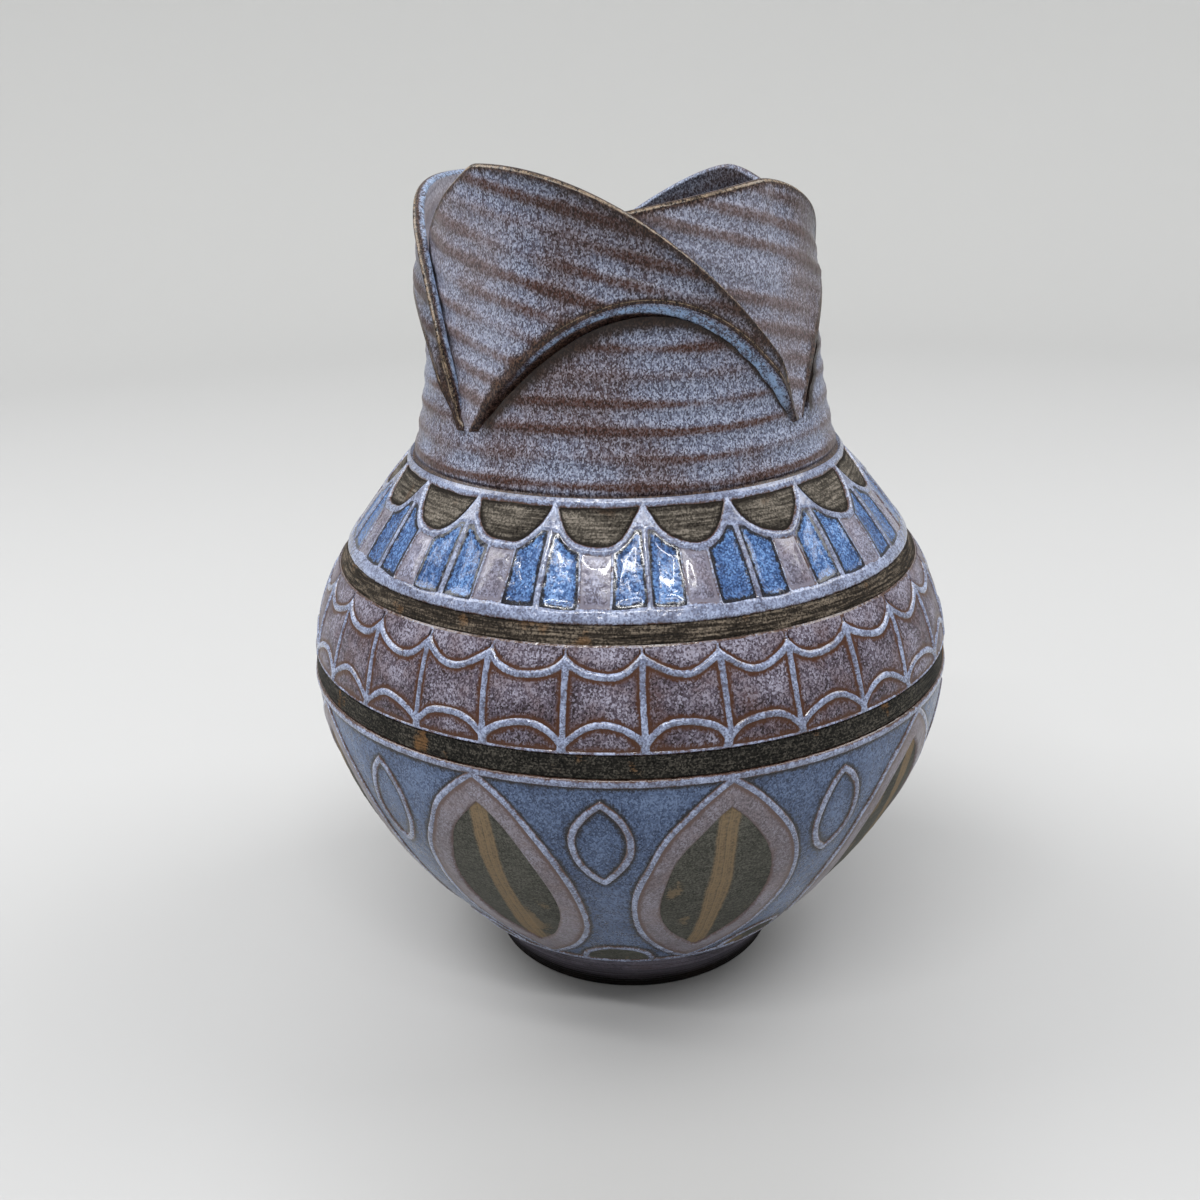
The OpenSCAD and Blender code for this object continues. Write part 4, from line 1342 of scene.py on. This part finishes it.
@dataclass
class Course:
    """A course of like bays round the wall, each with three fields between raised lines.

    The numbers of rows and of columns in a bay are those of the relief of the lines.
    """

    coats: Coats
    bays: int
    start: float
    rows: int
    bay_cols: int
    flank: float
    low: float = field(init=False)
    high: float = field(init=False)
    thin: float = 0.1
    under_line: float = 0.7

    def __post_init__(self) -> None:
        """Works out the half width of a bay and the middles of the bays in degrees."""
        self.half = 180.0 / self.bays
        self.middles = self.start + (np.arange(self.bays) + 0.5) * 2 * self.half

    def outlines(self, u: Array, z: Array) -> tuple[Array, Array, Array]:
        """Distances inwards from the outlines of a bay's fields, the least from straight sides and circles.

        Args:
            u: Degrees from the middle of the bay.
            z: Heights.

        Returns:
            Three arrays, over 0 inside the field.
        """
        raise NotImplementedError

    def shore(self, z: Array) -> Array:
        """Most reach that a line has at a height, from the edges of the course."""
        raise NotImplementedError

    def lines(self) -> Solid:
        """The raised lines as a closed ring with a relief outside and the bare wall inside.

        The reach is the distance out of the nearest field. The lift goes from thin up to the line's full
        height by a quarter sine of the reach over the flank.
        """
        azimuth = self.start + azimuths(self.bays * self.bay_cols)
        z = np.linspace(self.low, self.high, self.rows)[:, None]
        u = (azimuth - self.start) % (2 * self.half) - self.half
        reach = np.minimum(-np.maximum.reduce(self.outlines(u, z)), self.shore(z))
        climb = np.sin(np.pi / 2 * np.clip(reach / self.flank, 0.0, 1.0))
        lift = self.thin + (self.coats.line_t - self.thin) * climb
        outside = drawn(azimuth, z, lift, self.low, self.high)
        back = np.linspace(self.high, self.low, BACK_ROWS)[:, None]
        inside = drawn(azimuth, back, RING_BACK, self.low, self.high)
        ridge = np.concatenate([reach, np.repeat(reach[:1], BACK_ROWS, axis=0)])
        return Solid.torus(np.concatenate([outside, inside]), {"ridge": ridge})

    def set_round(self, u: Array, z: Array, lift: Array, rim: Array) -> Solid:
        """Repeats one bay's patch in every bay."""
        return patches(self.middles, u, z, lift, rim, self.low, self.high)


@dataclass
class Arcade(Course):
    """Window course: dark lunettes over blue panes and plum panels, in raised lines."""

    bays: int = 18
    start: float = 2.5
    rows: int = 74
    bay_cols: int = 64
    flank: float = 1.1
    lunette_h: float = 7.4
    sill_h: float = 3.4
    panel_share: float = 0.31
    pane_lift: float = 2.0
    line_reach: float = 1.2
    seam: float = 0.1

    def __post_init__(self) -> None:
        """Works out the lunette's circle from its chord and height."""
        super().__post_init__()
        w = self.coats.line_w
        self.low, self.high = self.coats.arcade_z, WALL.shoulder_z - self.seam
        self.pane_z = self.coats.arcade_z + self.sill_h
        self.lunette_z = self.coats.arcade_top - w / 2
        chord = float(WALL.radius(self.lunette_z)) * math.sin(math.radians(self.half)) - w / 2
        self.circle = (chord**2 + self.lunette_h**2) / (2 * self.lunette_h)
        self.centre_z = self.lunette_z - self.lunette_h + self.circle
        self.panel_half = self.panel_share * self.half
        self.pane_top = self.lunette_z - self.lunette_h + self.pane_lift

    def outlines(self, u: Array, z: Array) -> tuple[Array, Array, Array]:
        """The lunette, the pane and the panel."""
        w, r = self.coats.line_w, WALL.radius(z)
        x = np.abs(r * np.sin(np.radians(u)))
        from_centre = np.hypot(x, z - self.centre_z)
        under = np.minimum(from_centre - self.circle - w, z - self.pane_z)
        inner = r * math.sin(math.radians(self.panel_half))
        outer = r * math.sin(math.radians(self.half))
        lunette = np.minimum(self.circle - from_centre, self.lunette_z - z)
        pane = np.minimum(under, np.minimum(x - inner - w / 4, outer - w / 2 - x))
        pane = np.minimum(pane, self.pane_top - z)
        panel = np.minimum(under, inner - w / 4 - 0.3 - x)
        return lunette, pane, panel

    def shore(self, z: Array) -> Array:
        """A flank at the lower edge, then a level sill, and more over the panes' feet."""
        most = np.minimum(z - self.low, self.line_reach) + 0.35
        return np.where(z < self.pane_z, np.minimum(most, self.line_reach), most)

    def arc_z(self, u: Array, radius: float) -> Array:
        """Lowest height at which a circle round the lunette's centre meets an azimuth in the bay."""
        z = np.full(np.shape(u), self.lunette_z - self.lunette_h)
        for _ in range(12):
            x = WALL.radius(z) * np.sin(np.radians(u))
            z = self.centre_z - np.sqrt(np.maximum(radius**2 - x**2, 0.05))
        return np.minimum(z, self.lunette_z + 0.4)

    def bay_grid(self, u_low: float, u_high: float, rows: int, cols: int) -> tuple[Array, Array]:
        """Grid of azimuth and height under the lunette's line, between two azimuths in the bay."""
        u = np.linspace(u_low, u_high, cols)[None, :]
        low = self.pane_z - self.under_line
        high = self.arc_z(u, self.circle + self.coats.line_w - self.under_line)
        high = np.minimum(high, self.pane_top + self.under_line)
        return np.broadcast_to(u, (rows, cols)), low + shares(rows) * (high - low)

    def panes(self) -> Solid:
        """The blue panes, two in a bay, a little thinner in the middle than along their lines."""
        solids = []
        e = float(np.degrees(self.under_line / WALL.radius(self.pane_z)))
        gap = float(np.degrees(self.coats.line_w / WALL.radius(self.pane_z)))
        for sign in (-1.0, 1.0):
            u, z = self.bay_grid(self.panel_half + gap / 4 - e, self.half - gap / 2 + e * 0.6, 22, 14)
            rim = self.outlines(u, z)[1]
            lift = self.coats.glaze_t + 0.1 - 0.3 * ease(rim, -0.2, 1.5)
            solids.append(self.set_round(sign * u, z, lift, rim))
        return Solid.joined(solids)

    def panels(self) -> Solid:
        """The plum panel in the middle of each bay, slightly domed."""
        e = float(np.degrees(self.under_line / WALL.radius(self.pane_z)))
        u, z = self.bay_grid(-self.panel_half - e * 0.4, self.panel_half + e * 0.4, 22, 16)
        rim = self.outlines(u, z)[2]
        return self.set_round(u, z, 0.5 + 0.25 * ease(rim, -0.2, 2.2), rim)

    def lunettes(self) -> Solid:
        """The dark half rounds, with level tool lines."""
        rows, cols = 42, 26
        edge = self.half - float(np.degrees(0.3 / WALL.radius(self.lunette_z)))
        u = np.broadcast_to(np.linspace(-edge, edge, cols)[None, :], (rows, cols))
        low = self.arc_z(u[0], self.circle + self.under_line)
        z = low + shares(rows) * (self.lunette_z + 0.5 - low)
        lift = self.coats.slip_t + 0.05 * np.sin(2 * np.pi * z / 0.72)
        return self.set_round(u, z, lift, self.outlines(u, z)[0])

    def build(self) -> None:
        """Makes and coats the course."""
        self.lines().piece("arcade_lines", Coat.LINES)
        self.panes().piece("window_panes", Coat.PANES)
        self.panels().piece("arcade_panels", Coat.PANELS)
        self.lunettes().piece("lunettes", Coat.LUNETTES)


@dataclass
class Scallops(Course):
    """Course of hanging arcs over standing arcs, with bars between, on plum fields."""

    bays: int = 29
    start: float = 0.8
    rows: int = 62
    bay_cols: int = 40
    flank: float = 1.15
    sag: float = 4.4

    def __post_init__(self) -> None:
        """Works out the arcs' circle from their half width and sag."""
        super().__post_init__()
        c = self.coats
        self.low, self.high = c.scallop_z, c.upper_z
        self.half_x = float(WALL.radius((self.low + self.high) / 2)) * math.sin(math.radians(self.half))
        self.circle = (self.half_x**2 + self.sag**2) / (2 * self.sag)
        self.hang_z = self.high - c.line_w - self.sag + self.circle
        self.stand_z = self.low + c.line_w + self.sag - self.circle

    def outlines(self, u: Array, z: Array) -> tuple[Array, Array, Array]:
        """The hanging, the standing and the middle field."""
        w, r = self.coats.line_w / 2, WALL.radius(z)
        x = np.abs(r * np.sin(np.radians(u)))
        to_bar = r * math.sin(math.radians(self.half)) - w - x
        hang = np.hypot(x, z - self.hang_z)
        stand = np.hypot(x, z - self.stand_z)
        over = np.minimum(np.minimum(self.circle - w - hang, self.high - w - z), self.half_x - w - x)
        under = np.minimum(np.minimum(self.circle - w - stand, z - self.low - w), self.half_x - w - x)
        middle = np.minimum(to_bar, np.minimum(hang, stand) - self.circle - w)
        return over, under, middle

    def shore(self, z: Array) -> Array:
        """A flank at the lower edge and a flat one at the upper edge."""
        return np.minimum(z - self.low, 0.25 * (self.high - z)) + 0.2

    def fields(self) -> Solid:
        """The plum fields, three in a bay, domed a little between their lines."""
        e, w, rows, cols = self.under_line, self.coats.line_w / 2, 18, 16
        v = shares(rows)
        solids = []
        for kind, wide in enumerate((self.half_x - w + 0.4, self.half_x - w + 0.4, self.half_x - w + e)):
            x = np.linspace(-wide, wide, cols)[None, :]
            inner = np.sqrt(np.maximum((self.circle - w + e) ** 2 - x**2, 0.0))
            outer = np.sqrt((self.circle + w - e) ** 2 - x**2)
            low, high = (
                (self.hang_z - inner, np.full(x.shape, self.high - w + e)),
                (np.full(x.shape, self.low + w - e), self.stand_z + inner),
                (self.stand_z + outer, self.hang_z - outer),
            )[kind]
            z = low + v * (high - low)
            u = np.broadcast_to(WALL.angle(x, np.full(x.shape, (self.low + self.high) / 2)), z.shape)
            rim = self.outlines(u, z)[kind] * (1.7, 0.75, 1.0)[kind]
            rim = rim + (5.0, 0.0, 0.0)[kind] * ease(v, 0.25, 0.75)
            lift = self.coats.glaze_t - 0.05 + 0.14 * ease(rim, 0.0, 3.0)
            solids.append(self.set_round(u, z, lift, rim))
        return Solid.joined(solids)

    def build(self) -> None:
        """Makes and coats the course."""
        self.lines().piece("scallop_lines", Coat.LINES)
        self.fields().piece("scallop_panels", Coat.FIELDS)


@dataclass
class LeafFrieze:
    """Lower frieze: upright leaves in lines, with loops and half rounds between them on blue ground."""

    coats: Coats
    leaves: int = 9
    leaf_az: float = 14.0
    leaf_half: float = 19.0
    leaf_gap: float = 1.0
    margin: float = 5.5
    loop_half: float = 5.5
    loop_tall: float = 11.0
    loop_drop: float = 17.0
    round_r: float = 8.0
    round_drop: float = 0.4
    proud: float = 0.12
    under_line: float = 0.6

    def __post_init__(self) -> None:
        """Works out the circles of the leaf and the loop from their half widths and half heights."""
        w = self.coats.line_w
        self.low, self.high = self.coats.base_z + w, WALL.belly_z - w
        self.leaf_z = (self.low + self.high) / 2
        tall = (self.high - self.low) / 2 - self.leaf_gap
        self.leaf_circle = (self.leaf_half**2 + tall**2) / (2 * self.leaf_half)
        self.loop_z = self.high - self.loop_drop
        self.loop_circle = (self.loop_half**2 + self.loop_tall**2) / (2 * self.loop_half)
        self.step = 360.0 / self.leaves
        self.leaf_mids = self.leaf_az + np.arange(self.leaves) * self.step
        self.gap_mids = self.leaf_mids + self.step / 2

    @staticmethod
    def almond(half: float, circle: float, grow: Array, share: Array) -> tuple[Array, Array]:
        """Outline of an almond between two circles, grown by a distance.

        The right side is an arc round the left circle's centre and the left side its mirror image. Both end
        where x is 0, so that grown outlines keep their points.

        Args:
            half: Half width of the almond.
            circle: Radius of its circles.
            grow: Distances outwards from it.
            share: Shares of the way round, from 0 at the lower point.

        Returns:
            Sideways distances and heights from the almond's middle.
        """
        off = circle - half
        radius = circle + grow
        most = np.arccos(np.clip(off / radius, -1.0, 1.0))
        turn = 1.0 - np.abs(2.0 * share - 1.0)
        angle = most * (2.0 * turn - 1.0)
        return np.sign(0.5 - share) * (radius * np.cos(angle) - off), radius * np.sin(angle)

    def leaf_wide(self, grow: float, z: Array) -> Array:
        """Half width of a grown leaf at a height from its middle: half the circle's chord less its offset."""
        chord = np.sqrt(np.maximum((self.leaf_circle + grow) ** 2 - z**2, 0.0))
        return chord - (self.leaf_circle - self.leaf_half)

    def on_bowl(self, mids: Array, x: Array, z: Array, lift: Array | float) -> Array:
        """Points at sideways distances and heights, repeated round the bowl."""
        z = np.clip(z, self.low - 1.0, self.high + 1.0)
        azimuth = mids.reshape((-1,) + (1,) * x.ndim) + WALL.angle(x, z)[None]
        return drawn(azimuth, z, lift, self.low, self.high)

    def slabs(self, mids: Array, x: Array, z: Array, lift: Array | float, layers: dict[str, Array]) -> Solid:
        """Closed patches round the bowl, whose backs lie in the wall."""
        return Solid.slabs(self.on_bowl(mids, x, z, lift), self.on_bowl(mids, x, z, PATCH_BACK), layers)

    def hoops(self, mids: Array, x: Array, z: Array, lift: Array, layers: dict[str, Array]) -> Solid:
        """Closed hoops round the bowl: rows across the top and back along the wall, columns that join up."""
        top, base = (self.on_bowl(mids, x, z, out) for out in (lift, PATCH_BACK))
        bands = {name: np.concatenate([v, v[::-1]]) for name, v in layers.items()}
        grids = np.concatenate([top, base[:, ::-1]], axis=1)
        return Solid.joined([Solid.torus(grid, bands) for grid in grids])

    def ridge(self, mids: Array, x: Array, z: Array, across: Array, closed: bool) -> Solid:
        """A trailed line along a path: a rounded section on top and a flat one in the wall.

        Args:
            mids: Azimuths that the line is repeated at.
            x: Sideways distances of shape (section, path).
            z: Heights of the same shape.
            across: Places across the line, from -1 to 1.
            closed: Whether the path joins up.

        Returns:
            The lines as one solid.
        """
        lift = self.coats.line_t * np.sqrt(np.maximum(1.0 - np.abs(across) ** 2.4, 0.0))[:, None]
        reach = (1.0 - np.abs(across))[:, None] * self.coats.line_w / 2
        make = self.hoops if closed else self.slabs
        return make(mids, x, z, lift, {"ridge": reach})

    def lines(self) -> Solid:
        """Lines round the leaves and the loops, and over the half rounds."""
        across = np.linspace(-1.0, 1.0, 13)
        grow = (self.coats.line_w / 2 * (1.0 + across))[:, None]
        leaf_way = np.arange(216)[None, :] / 216.0
        x, z = self.almond(self.leaf_half, self.leaf_circle, grow, leaf_way)
        leaves = self.ridge(self.leaf_mids, x, self.leaf_z + z, across, True)
        loop_way = np.arange(120)[None, :] / 120.0
        x, z = self.almond(self.loop_half, self.loop_circle, grow, loop_way)
        loops = self.ridge(self.gap_mids, x, self.loop_z + z, across, True)
        turn = np.linspace(0.0, np.pi, 60)[None, :]
        x, z = (self.round_r + grow) * np.cos(turn), (self.round_r + grow) * np.sin(turn)
        rounds = self.ridge(self.gap_mids, x, self.low - self.round_drop + z, across, False)
        return Solid.joined([leaves, loops, rounds])

    def borders(self) -> Solid:
        """The two level lines that bound the frieze, as rounded rings."""
        w, cols = self.coats.line_w, 640
        azimuth = azimuths(cols)
        across = np.linspace(-1.0, 1.0, 17)[:, None]
        lift = self.coats.line_t * np.sqrt(np.maximum(1.0 - np.abs(across) ** 2.6, 0.0))
        reach = (1.0 - np.abs(across)) * w / 2
        ridge = {"ridge": np.concatenate([reach, reach[::-1]])}
        rings = []
        for mid in (self.low - w / 2, self.high + w / 2):
            z = mid + across * w / 2
            wave = 0.18 * np.sin(np.radians(azimuth) * 7 + mid) * (1.0 - across**2)
            top, base = WALL.lifted(azimuth, z + wave, lift), WALL.lifted(azimuth, z[::-1], PATCH_BACK)
            rings.append(Solid.torus(np.concatenate([top, base]), ridge))
        return Solid.joined(rings)

    def ground(self) -> Solid:
        """The blue ground between two leaves, from border to border."""
        rows, cols, w, e = 76, 52, self.coats.line_w, self.under_line
        z = self.low - e + shares(rows) * (self.high - self.low + 2 * e)
        leaf_x = self.leaf_wide(w, z - self.leaf_z)
        wide = self.step / 2 - WALL.angle(np.maximum(leaf_x - e, 0.0), z)
        u = np.linspace(-1.0, 1.0, cols)[None, :] * wide
        z = np.broadcast_to(z, u.shape)
        from_leaf = (wide - np.abs(u)) * np.radians(1.0) * WALL.radius(z) - e
        x = WALL.radius(z) * np.sin(np.radians(u))
        off = self.loop_circle - self.loop_half
        loop = np.hypot(np.abs(x) + off, z - self.loop_z) - self.loop_circle
        from_loop = np.maximum(loop - w, -loop)
        from_round = np.hypot(x, z - self.low) - self.round_r - w
        rim = np.minimum.reduce([from_leaf, z - self.low, self.high - z, from_loop, from_round])
        lift = self.coats.glaze_t - 0.1 * ease(rim, 0.0, 4.0)
        rim = np.minimum(rim, 6.0)
        return patches(self.gap_mids, u, z, lift, rim, self.low, self.high)

    def margins(self) -> Solid:
        """The lilac margin inside each leaf's line, thick and softly domed."""
        cols, across = 168, np.linspace(0.0, 1.0, 13)
        inwards = across * (self.margin + self.under_line) - self.under_line
        x, z = self.almond(
            self.leaf_half, self.leaf_circle, -inwards[:, None], np.arange(cols)[None, :] / cols)
        rim = np.minimum(inwards, (1.0 - across) * self.margin)
        dome = np.sqrt(np.clip(1.0 - 0.92 * ease(across, 0.82, 1.0) ** 2, 0.0, 1.0))
        lift = (self.coats.lilac_t + self.proud) * dome
        return self.hoops(self.leaf_mids, x, self.leaf_z + z, lift[:, None], {"rim": rim[:, None]})

    def cores(self) -> Solid:
        """The bare dark core of each leaf and the dark half rounds on the base line."""
        rows, cols = 60, 22
        grow = -self.margin + self.under_line
        tall = math.sqrt((self.leaf_circle + grow) ** 2 - (self.leaf_circle - self.leaf_half) ** 2)
        z = -tall * np.cos(np.pi * shares(rows))
        x = np.linspace(-1.0, 1.0, cols)[None, :] * np.maximum(self.leaf_wide(grow, z), 0.02)
        z = np.broadcast_to(self.leaf_z + z, x.shape)
        lift = self.coats.slip_t + 0.05 * np.sin(2 * np.pi * z / 1.1)
        leaf = self.slabs(self.leaf_mids, x, z, lift, {"across": x})
        turn = np.linspace(0.0, np.pi, 40)[None, :]
        out = np.linspace(0.02, 1.0, 12)[:, None] * (self.round_r + self.under_line)
        x, z = out * np.cos(turn), self.low - self.round_drop + out * np.sin(turn)
        unstriped = np.full(x.shape, 30.0)
        rounds = self.slabs(self.gap_mids, x, z, self.coats.glaze_t + self.proud, {"across": unstriped})
        return Solid.joined([leaf, rounds])

    def build(self) -> None:
        """Makes and coats the frieze."""
        self.borders().piece("frieze_borders", Coat.LINES)
        self.lines().piece("frieze_lines", Coat.LINES)
        self.ground().piece("frieze_ground", Coat.GROUND)
        self.margins().piece("frieze_margins", Coat.MARGINS)
        self.cores().piece("frieze_leaves", Coat.CORES)


# Studio


@dataclass
class Studio:
    """Pale round sweep, soft lamps and the camera at the photograph's angle."""

    floor_sink: float = 0.05
    floor_r: float = 1100.0
    bend_r: float = 700.0
    wall_top: float = 1900.0
    camera_at: tuple[float, float, float] = (-8.2, -360.4, 240.8)
    pitch: float = 20.52
    roll: float = -1.6
    focal_px: float = 1296.0
    sensor: float = 36.0
    aim_z: float = 110.0
    world_light: float = 0.6

    def sweep(self) -> None:
        """A floor that bends up into a wall all round, turned from one section."""
        turn = np.linspace(0.0, np.pi / 2, 24)
        section = np.concatenate([
            [[0.0, 0.0]],
            pairs(np.linspace(60.0, self.floor_r, 30), np.zeros(30)),
            pairs(self.floor_r + self.bend_r * np.sin(turn), self.bend_r * (1 - np.cos(turn)))[1:],
            [[self.floor_r + self.bend_r, self.wall_top]]])
        cols = 128
        points = polar(section[:, :1], azimuths(cols), section[:, 1:] - self.floor_sink).reshape(-1, 3)
        quads = grid_faces(len(section), cols, False, True)
        middle, rest = quads[:cols], quads[cols:]
        mesh = bpy.data.meshes.new("sweep")
        tris = np.stack([np.zeros(cols, dtype=int), middle[:, 3], middle[:, 2]], -1)
        mesh.from_pydata((points * MM).tolist(), [], tris.tolist() + rest[:, ::-1].tolist())
        mesh.polygons.foreach_set("use_smooth", np.ones(len(mesh.polygons), dtype=bool))
        mesh.materials.append(Paper("studio_paper").material())
        floor = bpy.data.objects.new("sweep", mesh)
        bpy.context.scene.collection.objects.link(floor)
        floor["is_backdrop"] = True

    def lamp(
        self, name: str, at: tuple[float, float, float], size: tuple[float, float], power: float
    ) -> None:
        """A soft oblong lamp aimed at the middle of the vase.

        Args:
            name: Name of the lamp.
            at: Its place in metres.
            size: Its width and depth in metres.
            power: Its power in watts.
        """
        light = bpy.data.lights.new(name, "AREA")
        light.shape = "RECTANGLE"
        light.size, light.size_y = size
        light.energy = power
        thing = bpy.data.objects.new(name, light)
        way = np.array([0.0, 0.0, self.aim_z * MM]) - np.array(at)
        thing.location = at
        thing.rotation_euler = Euler((
            math.atan2(math.hypot(way[0], way[1]), -way[2]), 0.0, math.atan2(-way[0], way[1])))
        thing.visible_camera = False
        bpy.context.scene.collection.objects.link(thing)

    def lights(self) -> None:
        """An even pale world, two narrow lamps over the camera and a broad one high on each side."""
        world = bpy.data.worlds.new("tent")
        world.use_nodes = True
        shade = world.node_tree.nodes["Background"]
        shade.inputs["Color"].default_value = (0.98, 1.0, 1.0, 1.0)
        shade.inputs["Strength"].default_value = self.world_light
        bpy.context.scene.world = world
        self.lamp("strip", (-0.14, -0.46, 1.25), (1.1, 0.07), 3.0)
        self.lamp("window", (-0.25, -1.02, 1.78), (1.5, 0.05), 15.9)
        self.lamp("left_fill", (-0.9, 0.2, 1.15), (0.8, 0.8), 10.5)
        self.lamp("right_fill", (0.9, 0.2, 1.15), (0.8, 0.8), 9.8)

    def camera(self) -> None:
        """The photograph's camera: pitched down at the belly and rolled a little."""
        data = bpy.data.cameras.new("camera")
        data.sensor_width = self.sensor
        data.lens = self.sensor * self.focal_px / IMAGE_PX
        data.clip_start = 0.01
        eye = bpy.data.objects.new("camera", data)
        turn = Euler((math.radians(90.0 - self.pitch), 0.0, 0.0)).to_matrix() @ Matrix.Rotation(
            math.radians(self.roll), 3, "Z")
        eye.location = [c * MM for c in self.camera_at]
        eye.rotation_euler = turn.to_euler()
        bpy.context.scene.collection.objects.link(eye)
        bpy.context.scene.camera = eye

    def build(self) -> None:
        """Sets the stage, the lamps, the camera and the plain view transform."""
        self.camera()
        self.sweep()
        self.lights()
        bpy.context.scene.view_settings.view_transform = "Standard"


def main() -> None:
    """Builds the studio and the vase."""
    logging.basicConfig(level=logging.INFO, format="%(name)s: %(message)s")
    coats = Coats()
    Studio().build()
    Body().build()
    Crown().build()
    coats.bands()
    Arcade(coats).build()
    Scallops(coats).build()
    LeafFrieze(coats).build()
    boxes = {name: [list(map(float, corner)) for corner in box] for name, box in
             (("cad", CAD_BOX), ("visual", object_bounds()))}
    LOG.info("boxes: %s", boxes)


if __name__ == "__main__":
    main()
